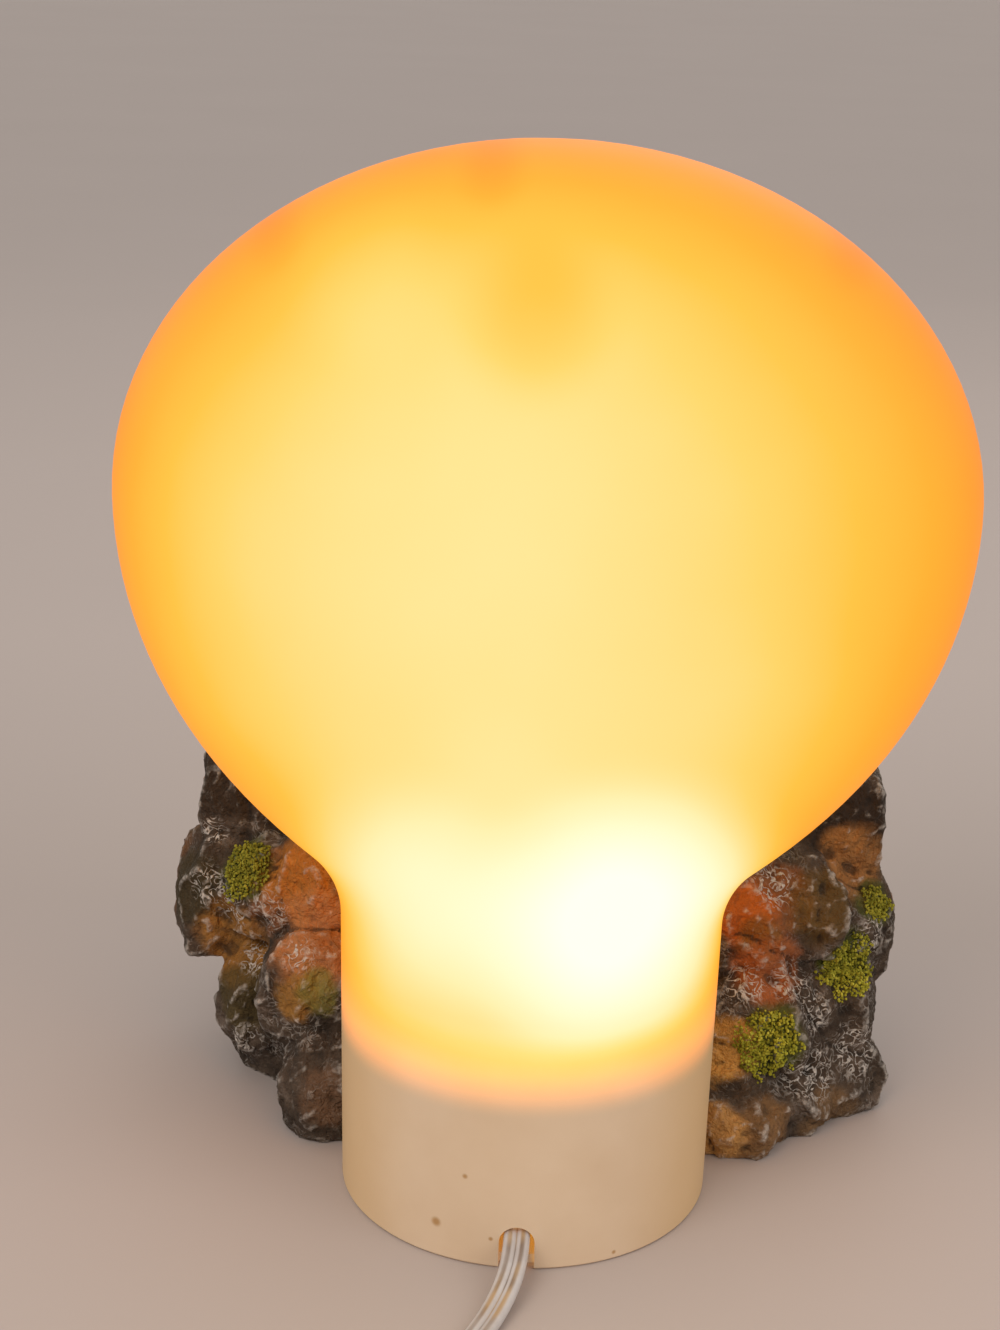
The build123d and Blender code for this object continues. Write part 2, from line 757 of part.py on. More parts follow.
# Coil: in along the lower layer, up in half a turn, out along the upper layer
coil_angle = 2 * math.pi * coil_turns
coil_inner_radius = coil_middle_radius - coil_pitch * coil_turns / 4
coil_outer_radius = coil_inner_radius + coil_pitch * coil_turns / 2
coil_centre = Vector(coil_start_x, coil_start_y + coil_outer_radius, 0)


def coil_place(angle):
    """Radius and height of the coil after turning by angle."""
    past_middle = angle - coil_angle / 2
    radius = coil_inner_radius + coil_pitch * abs(past_middle) / (2 * math.pi)
    climb = min(max(past_middle / math.pi + 0.5, 0), 1)
    if 0 < climb < 1:
        radius -= coil_dip * math.cos(past_middle) ** 2
    return radius, coil_height + coil_layer * (1 - math.cos(math.pi * climb)) / 2


def coil_point(angle):
    """Point of the coil's centre line after turning by angle from its start at the back."""
    radius, height = coil_place(angle)
    turn = angle - math.pi / 2
    return coil_centre + Vector(radius * math.cos(turn), radius * math.sin(turn), height)


def coil_heading(angle):
    """Direction of the coil's centre line after turning by angle; level at both ends."""
    if angle in (0, coil_angle):
        return Vector(math.cos(angle), math.sin(angle), 0)
    ahead = coil_point(angle + coil_heading_step)
    behind = coil_point(angle - coil_heading_step)
    return (ahead - behind).normalized()


def biarc(start, start_heading, end, end_heading):
    """Two tangent arcs from one point and heading to another."""
    chord = end - start
    both = start_heading + end_heading
    spread = 2 * (1 - start_heading.dot(end_heading))
    along = chord.dot(both)
    reach = (math.sqrt(along ** 2 + spread * chord.dot(chord)) - along) / spread
    middle = (start + end + (start_heading - end_heading) * reach) * 0.5
    first = TangentArc(start, middle, tangent=start_heading)
    TangentArc(middle, end, tangent=first % 1)


def coil_gap():
    """Least gap between turns at the same angle, from their thickness and width."""
    gaps = []
    samples = round(coil_turns * coil_samples)
    for first in range(samples + 1):
        radius, height = coil_place(coil_angle * first / samples)
        for second in range(first + coil_samples, samples + 1, coil_samples):
            other_radius, other_height = coil_place(coil_angle * second / samples)
            aside = abs(radius - other_radius) - cord_thickness
            above = abs(height - other_height) - cord_width
            gaps.append(max(aside, above))
    return min(gaps)


quarters = round(coil_turns * 4)
coil_end = coil_point(coil_angle)
coil_end_heading = coil_heading(coil_angle)
coil_tail = coil_end + coil_end_heading * cord_width
with BuildPart() as cord_coil:
    with BuildLine() as coil_route:
        lead_in = coil_point(0) + Vector(cord_width, 0, 0)
        Line(coil_point(0), lead_in)
        for quarter in range(quarters):
            low = quarter * math.pi / 2
            high = coil_angle if quarter == quarters - 1 else low + math.pi / 2
            shift = Vector(cord_width, 0, 0)
            start = coil_point(low) + shift
            biarc(start, coil_heading(low), coil_point(high) + shift, coil_heading(high))
        Line(coil_end + shift, coil_tail + shift)
    with BuildSketch(Plane(coil_point(0), x_dir=(0, 0, 1), z_dir=(1, 0, 0))):
        Polygon(*cord_outline(), align=None)
    sweep()
print("coil length", round(coil_route.wires()[0].length, 1), "least gap", round(coil_gap(), 2))
keep(cord_coil, "cord_coil")

# Tie round the coil's turns
tie_inner_edge = coil_inner_radius - coil_dip - cord_thickness / 2 - tie_clearance
tie_outer_edge = coil_outer_radius + cord_thickness / 2 + tie_clearance
tie_span = tie_outer_edge - tie_inner_edge
tie_rise = cord_width + coil_layer + 2 * tie_clearance
tie_out = Vector(math.cos(math.radians(tie_angle)), math.sin(math.radians(tie_angle)), 0)
tie_middle = coil_centre + Vector(cord_width, 0, 0) + tie_out * ((tie_inner_edge + tie_outer_edge) / 2)
tie_plane = Plane(tie_middle, x_dir=tie_out, z_dir=tie_out.cross(Vector(0, 0, 1)))
with BuildPart() as coil_tie:
    with BuildSketch(tie_plane):
        with Locations((0, coil_height + coil_layer / 2)):
            Rectangle(tie_span + 2 * tie_thickness, tie_rise + 2 * tie_thickness)
            Rectangle(tie_span, tie_rise, mode=Mode.SUBTRACT)
    extrude(amount=tie_width / 2, both=True)
keep(coil_tie, "coil_tie")

# Cord from the coil to the plug, turned flat again
plug_height = plug_thickness / 2
coil_tail_end = coil_tail + Vector(cord_width, 0, 0)
plug_start = Vector(coil_tail_end.X, coil_tail_end.Y + twist_length, plug_height)
with BuildPart() as cord_plug_side:
    add(cord_twist(tuple(coil_tail_end), tuple(plug_start), 90, 0))
keep(cord_plug_side, "cord_plug_side")

# Plug: a moulded body that swells from the cord to its face, and two flat blades
plug_plane = Plane(plug_start, x_dir=(1, 0, 0), z_dir=(0, 1, 0))
with BuildPart() as plug_body:
    with BuildSketch(plug_plane):
        RectangleRounded(plug_neck_width, plug_neck_thickness, plug_corner_radius)
    for share, width_share, thickness_share in plug_swell:
        with BuildSketch(plug_plane.offset(share * plug_length)):
            RectangleRounded(width_share * plug_width, thickness_share * plug_thickness, plug_corner_radius)
    loft(ruled=True)
keep(plug_body, "plug_body")

with BuildPart() as plug_blades:
    for hand, blade_width in zip((-1, 1), blade_widths):
        with BuildSketch(plug_plane.offset(plug_length)):
            with Locations((hand * blade_spacing / 2, 0)):
                Rectangle(blade_thickness, blade_width)
        extrude(amount=blade_length)
        hole_y = plug_start.Y + plug_length + blade_length - blade_hole_setback
        with BuildSketch(Plane((plug_start.X, hole_y, plug_height), x_dir=(0, 1, 0), z_dir=(1, 0, 0))):
            Circle(blade_hole_radius)
        extrude(amount=plug_width, both=True, mode=Mode.SUBTRACT)
keep(plug_blades, "plug_blades")
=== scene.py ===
"""Looks of a lit night light: a glowing cast dome, a painted rock ledge and a flat cord with its switch.

Metres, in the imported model's frame. Sizes are in millimetres and turned to metres where a mesh is made.
"""
import logging
import math
import random
from dataclasses import dataclass, field
from enum import Enum
from functools import cached_property, partial
from typing import Callable, Iterable, NamedTuple, Sequence

import bmesh
import bpy
from bmesh.types import BMEdge, BMesh, BMVert
from bpy.types import ID, Material, Mesh, Node, NodeSocket, NodeTree, Object
from mathutils import Euler, Matrix, Vector, noise


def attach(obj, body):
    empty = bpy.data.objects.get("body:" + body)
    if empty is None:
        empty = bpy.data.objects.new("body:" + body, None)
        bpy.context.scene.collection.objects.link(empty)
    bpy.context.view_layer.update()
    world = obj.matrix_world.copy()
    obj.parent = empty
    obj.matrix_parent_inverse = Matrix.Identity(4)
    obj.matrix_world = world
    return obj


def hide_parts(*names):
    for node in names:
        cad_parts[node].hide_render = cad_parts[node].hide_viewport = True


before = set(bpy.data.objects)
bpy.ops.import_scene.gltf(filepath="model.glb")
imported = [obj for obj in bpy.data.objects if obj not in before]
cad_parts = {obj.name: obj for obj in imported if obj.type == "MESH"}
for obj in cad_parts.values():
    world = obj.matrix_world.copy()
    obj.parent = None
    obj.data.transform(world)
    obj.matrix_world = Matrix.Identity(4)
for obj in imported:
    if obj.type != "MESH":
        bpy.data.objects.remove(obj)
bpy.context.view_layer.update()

LOG = logging.getLogger("night_light")
MM = 0.001
# Edges that turn by more than this many degrees stay sharp, unless a piece says otherwise
SHARP_ANGLE = 40.0

Point = tuple[float, float, float]
Colour = tuple[float, float, float, float]
Stops = tuple[tuple[float, str], ...]
Spots = tuple[tuple[Point, float], ...]
Inputs = dict[int | str, object] | Sequence[object]
Adder = Callable[..., Node]


class Body(Enum):
    """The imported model's bodies. New pieces ride on the first, the thumbwheel's own node on the second."""

    ROOT = "root"
    THUMBWHEEL = "thumbwheel"


class CordTurn(Enum):
    """How the flat cord lies, as the angle of its width from the level in degrees."""

    FLAT = 0.0
    ON_EDGE = 90.0


class Level(NamedTuple):
    """One ring of the shell in millimetres: half-width, half-depth and height."""

    half_width: float
    half_depth: float
    height: float


class PaintAndGlowZone(NamedTuple):
    """A patch of colour on the rock, paint and beside the neck also painted glow from the lamp: its centre
    and reach in millimetres, its colour and its strength.
    """

    centre: Point
    reach: float
    colour: str
    strength: float


def mm(x: float, y: float, z: float) -> Vector:
    """Returns a point given in millimetres, in metres."""
    return Vector((x, y, z)) * MM


def linear(code: str) -> Colour:
    """Turns an sRGB hex colour into linear light.

    Args:
        code: six hex digits, red, green and blue.

    Returns:
        Linear red, green and blue, and an alpha of one.
    """
    channels = [int(code[start:start + 2], 16) / 255 for start in (0, 2, 4)]
    bright = [c / 12.92 if c <= 0.04045 else ((c + 0.055) / 1.055) ** 2.4 for c in channels]
    return (bright[0], bright[1], bright[2], 1.0)


def fill(node: Node, inputs: Inputs) -> None:
    """Links or sets the inputs of a node.

    Args:
        node: the node.
        inputs: values, sockets or nodes for its inputs, by place or by name.
    """
    pairs = inputs.items() if isinstance(inputs, dict) else enumerate(inputs)
    for key, value in pairs:
        source = value.outputs[0] if isinstance(value, Node) else value
        if isinstance(source, NodeSocket):
            node.id_data.links.new(source, node.inputs[key])
        else:
            node.inputs[key].default_value = source


def add_node(tree: NodeTree, kind: str, inputs: Inputs = (), stops: Stops = (), **settings: object) -> Node:
    """Adds one shader node with its settings and links.

    Args:
        tree: the material's node tree.
        kind: the node's type without its ShaderNode prefix.
        inputs: values, sockets or nodes for its inputs, by place or by name.
        stops: places and hex colours of a colour ramp, in rising order.
        settings: the node's own properties.

    Returns:
        The new node.
    """
    node = tree.nodes.new("ShaderNode" + kind)
    for name, value in settings.items():
        setattr(node, name, value)
    fill(node, inputs)
    for number, (place, code) in enumerate(stops):
        elements = node.color_ramp.elements
        element = elements[number] if number < 2 else elements.new(1.0)
        element.position = place
        element.color = linear(code)
    return node


def soft_spot(
    add: Adder, place: NodeSocket | Node, centre: Point, core: float, reach: float, gain: float,
    fade: str = "SMOOTHSTEP",
) -> Node:
    """Adds a round spot that fades out towards its border.

    Args:
        add: adds a node to the material.
        place: coordinates in millimetres.
        centre: the spot's middle.
        core: how far from the middle it starts to fade.
        reach: how far from the middle it ends.
        gain: its value in the middle.
        fade: how it fades, as the range node calls it.

    Returns:
        A node with the spot's value, which is 0 past its reach.
    """
    away = add("VectorMath", (place, centre), operation="DISTANCE").outputs["Value"]
    return add("MapRange", (away, core, reach, gain, 0.0), interpolation_type=fade)


def put_in_scene(name: str, data: ID) -> Object:
    """Makes an object at the origin.

    Args:
        name: the object's name.
        data: its mesh, light or camera.

    Returns:
        The object, linked into the scene.
    """
    obj = bpy.data.objects.new(name, data)
    bpy.context.scene.collection.objects.link(obj)
    return obj


def mesh_object(name: str, bm: BMesh, sharp_angle: float = SHARP_ANGLE) -> Object:
    """Makes an object of a finished bmesh, shaded smooth up to an angle.

    Args:
        name: the piece's name.
        bm: the shape, which is freed.
        sharp_angle: edges that turn by more than this many degrees stay sharp.

    Returns:
        The object, in the scene.
    """
    mesh = bpy.data.meshes.new(name)
    bm.to_mesh(mesh)
    bm.free()
    mesh.shade_smooth()
    mesh.set_sharp_from_angle(angle=math.radians(sharp_angle))
    return put_in_scene(name, mesh)


def apply_modifiers(obj: Object) -> None:
    """Puts an object's modifiers into its mesh and takes them off.

    Args:
        obj: the object, which gets a new mesh.
    """
    graph = bpy.context.evaluated_depsgraph_get()
    made = bpy.data.meshes.new_from_object(obj.evaluated_get(graph))
    old = obj.data
    obj.modifiers.clear()
    obj.data = made
    bpy.data.meshes.remove(old)


def extrude_ring(bm: BMesh, edges: list[BMEdge]) -> tuple[list[BMVert], list[BMEdge]]:
    """Extrudes a ring of edges on the spot.

    Args:
        bm: the mesh that holds the ring.
        edges: the ring's edges.

    Returns:
        The vertices and the edges of the new ring.
    """
    made = bmesh.ops.extrude_edge_only(bm, edges=edges)["geom"]
    verts = [item for item in made if isinstance(item, BMVert)]
    return verts, [item for item in made if isinstance(item, BMEdge) and item.is_boundary]


def raise_rings(bm: BMesh, edges: list[BMEdge], start: Level, levels: Iterable[Level]) -> list[BMVert]:
    """Extrudes a ring of edges through a row of level ellipses about the upright axis.

    Args:
        bm: the mesh that holds the ring.
        edges: the ring's edges.
        start: the ring's own level.
        levels: the levels that follow, in order.

    Returns:
        The vertices of the last ring.
    """
    here = start
    verts: list[BMVert] = []
    for level in levels:
        verts, edges = extrude_ring(bm, edges)
        stretch = (level.half_width / here.half_width, level.half_depth / here.half_depth, 1.0)
        bmesh.ops.scale(bm, vec=stretch, verts=verts)
        bmesh.ops.translate(bm, vec=mm(0, 0, level.height - here.height), verts=verts)
        here = level
    return verts


def dress(obj: Object, material: Material) -> None:
    """Gives an object one material in all its slots.

    Args:
        obj: the object.
        material: its material.
    """
    if not obj.material_slots:
        obj.data.materials.append(material)
    for slot in obj.material_slots:
        slot.link = "OBJECT"
        slot.material = material


@dataclass(frozen=True)
class Finish:
    """What every finish shares: its name and the start of its node tree. Pattern sizes are in millimetres."""

    name: str

    def start(self) -> tuple[Material, Adder, Node, NodeSocket]:
        """Makes the material.

        Returns:
            The material, what adds nodes to it, its shader, and the object's coordinates in millimetres.
        """
        material = bpy.data.materials.new(self.name)
        material.use_nodes = True
        add = partial(add_node, material.node_tree)
        place = add("TexCoord").outputs["Object"]
        scaled = add("VectorMath", {0: place, "Scale": 1 / MM}, operation="SCALE")
        return material, add, material.node_tree.nodes["Principled BSDF"], scaled.outputs[0]


@dataclass(frozen=True)
class MouldedPlastic(Finish):
    """Moulded plastic: one colour that drifts a little, and a fine skin from the mould's grain."""

    colour: str
    shade: str
    roughness: float
    grain: float = 0.8
    depth: float = 0.02
    drift: float = 14.0

    def build(self) -> Material:
        """Makes the plastic.

        Returns:
            The material.
        """
        material, add, shader, place = self.start()
        drift = add("TexNoise", {"Vector": place, "Scale": 1 / self.drift, "Detail": 3.0})
        skin = add("TexNoise", {"Vector": place, "Scale": 1 / self.grain, "Detail": 2.0})
        fill(shader, {
            "Base Color": add("ValToRGB", (drift,), ((0.3, self.shade), (0.7, self.colour))),
            "Normal": add("Bump", {"Strength": 0.35, "Distance": self.depth * MM, "Height": skin}),
            "Roughness": self.roughness,
            "IOR": 1.5,
        })
        return material


@dataclass(frozen=True)
class RolledMetal(Finish):
    """Rolled or plated metal: bright, with a faint lengthwise rub and dull spots."""

    colour: str
    shade: str
    roughness: float
    grain: float = 0.6
    # How much closer the pattern's coordinates lie along the rub
    rub: float = 0.12

    def build(self) -> Material:
        """Makes the metal.

        Returns:
            The material.
        """
        material, add, shader, place = self.start()
        rubbed = add("Mapping", {"Vector": place, "Scale": (1.0, 1.0, self.rub)})
        spots = add("TexNoise", {"Vector": rubbed, "Scale": 1 / self.grain, "Detail": 4.0})
        fill(shader, {
            "Base Color": add("ValToRGB", (spots,), ((0.25, self.shade), (0.6, self.colour))),
            "Roughness": add("MapRange", (spots, 0.0, 1.0, 0.6 * self.roughness, 1.5 * self.roughness)),
            "Metallic": 1.0,
        })
        return material


@dataclass(frozen=True)
class BlownGlass(Finish):
    """Clear blown glass: almost colourless, with a faint unevenness from blowing."""

    colour: str
    swell: float = 9.0
    depth: float = 0.05

    def build(self) -> Material:
        """Makes the glass.

        Returns:
            The material.
        """
        material, add, shader, place = self.start()
        swell = add("TexNoise", {"Vector": place, "Scale": 1 / self.swell, "Detail": 1.0})
        fill(shader, {
            "Base Color": add("ValToRGB", (swell,), ((0.2, self.colour), (0.8, "ffffff"))),
            "Normal": add("Bump", {"Strength": 0.2, "Distance": self.depth * MM, "Height": swell}),
            "Roughness": 0.03,
            "IOR": 1.52,
            "Transmission Weight": 1.0,
        })
        return material


@dataclass(frozen=True)
class HotWire(Finish):
    """Drawn tungsten wire at white heat: it gives off more light along the middle of each coil."""

    coil: float = 1.2
    glow: Stops = ((0.0, "ff9a3c"), (1.0, "fff0c4"))

    def build(self) -> Material:
        """Makes the hot wire.

        Returns:
            The material.
        """
        material, add, shader, place = self.start()
        coils = add("TexWave", {"Vector": place, "Scale": 1 / self.coil}, bands_direction="X")
        fill(shader, {
            "Base Color": linear("3c3a38"),
            "Emission Color": add("ValToRGB", (coils,), self.glow),
            "Emission Strength": 1.0,
            "Metallic": 1.0,
            "Roughness": 0.4,
        })
        return material


@dataclass(frozen=True)
class LitResin(Finish):
    """Translucent cast resin lit from inside.

    Light soaks through it: white where the bulb stands close behind, yellow over the broad faces, orange at
    the rim where the wall is seen edge on, and none below the plate, where the resin keeps its own ivory.
    """

    half_depth: float
    glow_line: float
    foot_radius: float
    # Heat of the glow from deep orange to white, as places along the ramp and colours
    heat_stops: Stops = (
        (0.04, "e87c10"), (0.17, "f6941c"), (0.28, "f9a828"), (0.38, "f9bc3e"), (0.47, "f9ce66"),
        (0.56, "fade90"), (0.64, "fbecb0"), (0.76, "fdf7cc"), (1.0, "fffdf2"))
    heat_top: float = 1.6
    line_blur: float = 3.5
    ridge_blur: float = 5.5
    # Heat over the depth's share: its power, its gain and what the rim loses
    face_power: float = 0.9
    face_heat: float = 0.93
    rim_loss: float = 0.032
    # Heat for each millimetre to the right, on the face
    lean: float = -0.0016
    cloud_size: float = 38.0
    cloud_heat: float = 0.08
    # The band over the plate that little light reaches: its height and the share of heat at its foot
    fringe: float = 16.0
    fringe_heat: float = 0.26
    # Hot spots in front of the bulb: centre x and height, reach and heat
    lobes: tuple[tuple[float, float, float, float], ...] = (
        (20.0, 74.0, 40.0, 0.84), (-22.0, 76.0, 34.0, 0.30), (2.0, 75.0, 62.0, 0.16),
        (-33.0, 55.0, 19.0, 0.10), (34.0, 52.0, 19.0, 0.13), (-34.0, 196.0, 24.0, 0.09),
        (40.0, 112.0, 34.0, 0.06), (0.0, 205.0, 70.0, 0.06))
    # Thick or dirty places in the casting: centre x and height, reach and loss of heat
    smudges: tuple[tuple[float, float, float, float], ...] = (
        (-11.0, 209.0, 9.0, -0.11), (-50.0, 196.0, 9.0, -0.08), (54.0, 196.0, 9.0, -0.07),
        (-2.0, 187.0, 19.0, -0.14), (-54.0, 92.0, 22.0, -0.06))
    # Stray light inside the foot: how deep under the outside it is full, where it ends, and its colours
    stray_depths: tuple[float, float] = (2.3, 0.9)
    stray_stops: Stops = ((0.0, "c9853c"), (1.0, "ffb444"))
    stray_side: float = 3.0
    # The unlit resin: its mottle, where the painted shade at its left and right sides starts, and its pores
    mottle: float = 16.0
    mottle_stops: Stops = ((0.3, "dec3a4"), (0.7, "e4cbae"))
    side_shade_start: float = 18.0
    pore: float = 3.0
    pore_depth: float = 0.1
    # Ochre specks on the unlit foot: angle round the neck in degrees, height and radius
    specks: tuple[tuple[float, float, float], ...] = (
        (245.1, 7.8, 0.9), (254.1, 19.6, 0.5), (262.3, 6.5, 0.4), (300.2, 1.7, 0.4))

    def build(self) -> Material:
        """Makes the lit resin.

        Returns:
            The material.
        """
        material, add, shader, place = self.start()
        across, depth, height = add("SeparateXYZ", (place,)).outputs
        line, blur = self.glow_line, self.line_blur
        heat = self.heat(add, place, across, depth, height)
        scaled = add("Math", (heat, self.heat_top), operation="DIVIDE", use_clamp=True)
        glow = add("ValToRGB", (scaled,), self.heat_stops)
        side = add("MapRange", (across, -self.stray_side, self.stray_side))
        stray = add("ValToRGB", (side,), self.stray_stops)
        dark = add("MixRGB", (self.leak(add, place), linear("000000"), stray))
        lit = add("MapRange", (height, line - blur, line + 2 * blur), interpolation_type="SMOOTHSTEP")
        soaked = add("MapRange", (height, line, line + 5 * blur), interpolation_type="SMOOTHSTEP")
        pores = add("TexNoise", {"Vector": place, "Scale": 1 / self.pore, "Detail": 3.0})
        fill(shader, {
            "Base Color": add("MixRGB", (soaked, self.ivory(add, place), linear("7a4a16"))),
            "Emission Color": add("MixRGB", (lit, dark, glow)),
            "Emission Strength": 1.0,
            "Normal": add("Bump", {"Strength": 0.15, "Distance": self.pore_depth * MM, "Height": pores}),
            "Roughness": 0.46,
            "Specular IOR Level": 0.25,
            "IOR": 1.5,
        })
        return material

    def heat(
        self, add: Adder, place: NodeSocket, across: NodeSocket, depth: NodeSocket, height: NodeSocket
    ) -> Node:
        """Adds up how strongly the light comes through.

        Args:
            add: adds a node to the material.
            place: coordinates in millimetres.
            across: the first of them, from left to right.
            depth: the second, from back to front.
            height: the third.

        Returns:
            A node whose value is the heat of the glow.
        """
        square = add("Math", (depth, 2.0), operation="POWER")
        square = add("Math", (square, self.ridge_blur ** 2), operation="ADD")
        out = add("Math", (square,), operation="SQRT")
        share = add("Math", (out, self.half_depth), operation="DIVIDE")
        curve = add("Math", (share, self.face_power), operation="POWER")
        total = add("Math", (curve, self.face_heat, -self.rim_loss), operation="MULTIPLY_ADD")
        side = add("Math", (across, share), operation="MULTIPLY")
        total = add("Math", (side, self.lean, total), operation="MULTIPLY_ADD")
        flat = add("CombineXYZ", (across, 0.0, height))
        for x, z, reach, gain in self.lobes + self.smudges:
            spot = soft_spot(add, flat, (x, 0.0, z), 0.0, reach, gain, "SMOOTHERSTEP")
            total = add("Math", (total, spot), operation="ADD")
        clouds = add("TexNoise", {"Vector": place, "Scale": 1 / self.cloud_size, "Detail": 2.0})
        total = add("Math", (clouds, self.cloud_heat, total), operation="MULTIPLY_ADD")
        total = add("Math", (total, self.cloud_heat / 2), operation="SUBTRACT")
        top = self.glow_line + self.fringe
        fringe = add(
            "MapRange", (height, self.glow_line, top, self.fringe_heat), interpolation_type="SMOOTHSTEP")
        return add("Math", (total, fringe), operation="MULTIPLY")

    def leak(self, add: Adder, place: NodeSocket) -> Node:
        """Finds the inside of the foot, where stray light reaches.

        Args:
            add: adds a node to the material.
            place: coordinates in millimetres.

        Returns:
            A node that is 1 on the foot's inside and 0 on its outside.
        """
        level = add("VectorMath", (place, (1.0, 1.0, 0.0)), operation="MULTIPLY")
        full, end = (self.foot_radius - depth for depth in self.stray_depths)
        return soft_spot(add, level, (0.0, 0.0, 0.0), full, end, 1.0)

    def ivory(self, add: Adder, place: NodeSocket) -> Node:
        """Paints the unlit resin: mottled ivory, a painted shade that turns it warmer and a little darker
        towards the left and right sides, and a few ochre specks.

        Args:
            add: adds a node to the material.
            place: coordinates in millimetres.

        Returns:
            A node with the resin's colour.
        """
        mottle = add("TexNoise", {"Vector": place, "Scale": 1 / self.mottle, "Detail": 4.0})
        colour = add("ValToRGB", (mottle,), self.mottle_stops)
        # Painted shade: warmer and a little darker towards the left and right sides of the neck
        across = add("Math", (add("SeparateXYZ", (place,)),), operation="ABSOLUTE")
        sides = (across, self.side_shade_start, self.foot_radius, 0.0, 0.8)
        sides = add("MapRange", sides, interpolation_type="SMOOTHSTEP")
        colour = add("MixRGB", (sides, colour, linear("dab784")))
        for angle, z, radius in self.specks:
            turn = math.radians(angle)
            spot = (self.foot_radius * math.cos(turn), self.foot_radius * math.sin(turn), z)
            cover = soft_spot(add, place, spot, 0.4 * radius, 1.6 * radius, 0.75)
            colour = add("MixRGB", (cover, colour, linear("a9772f")))
        return colour


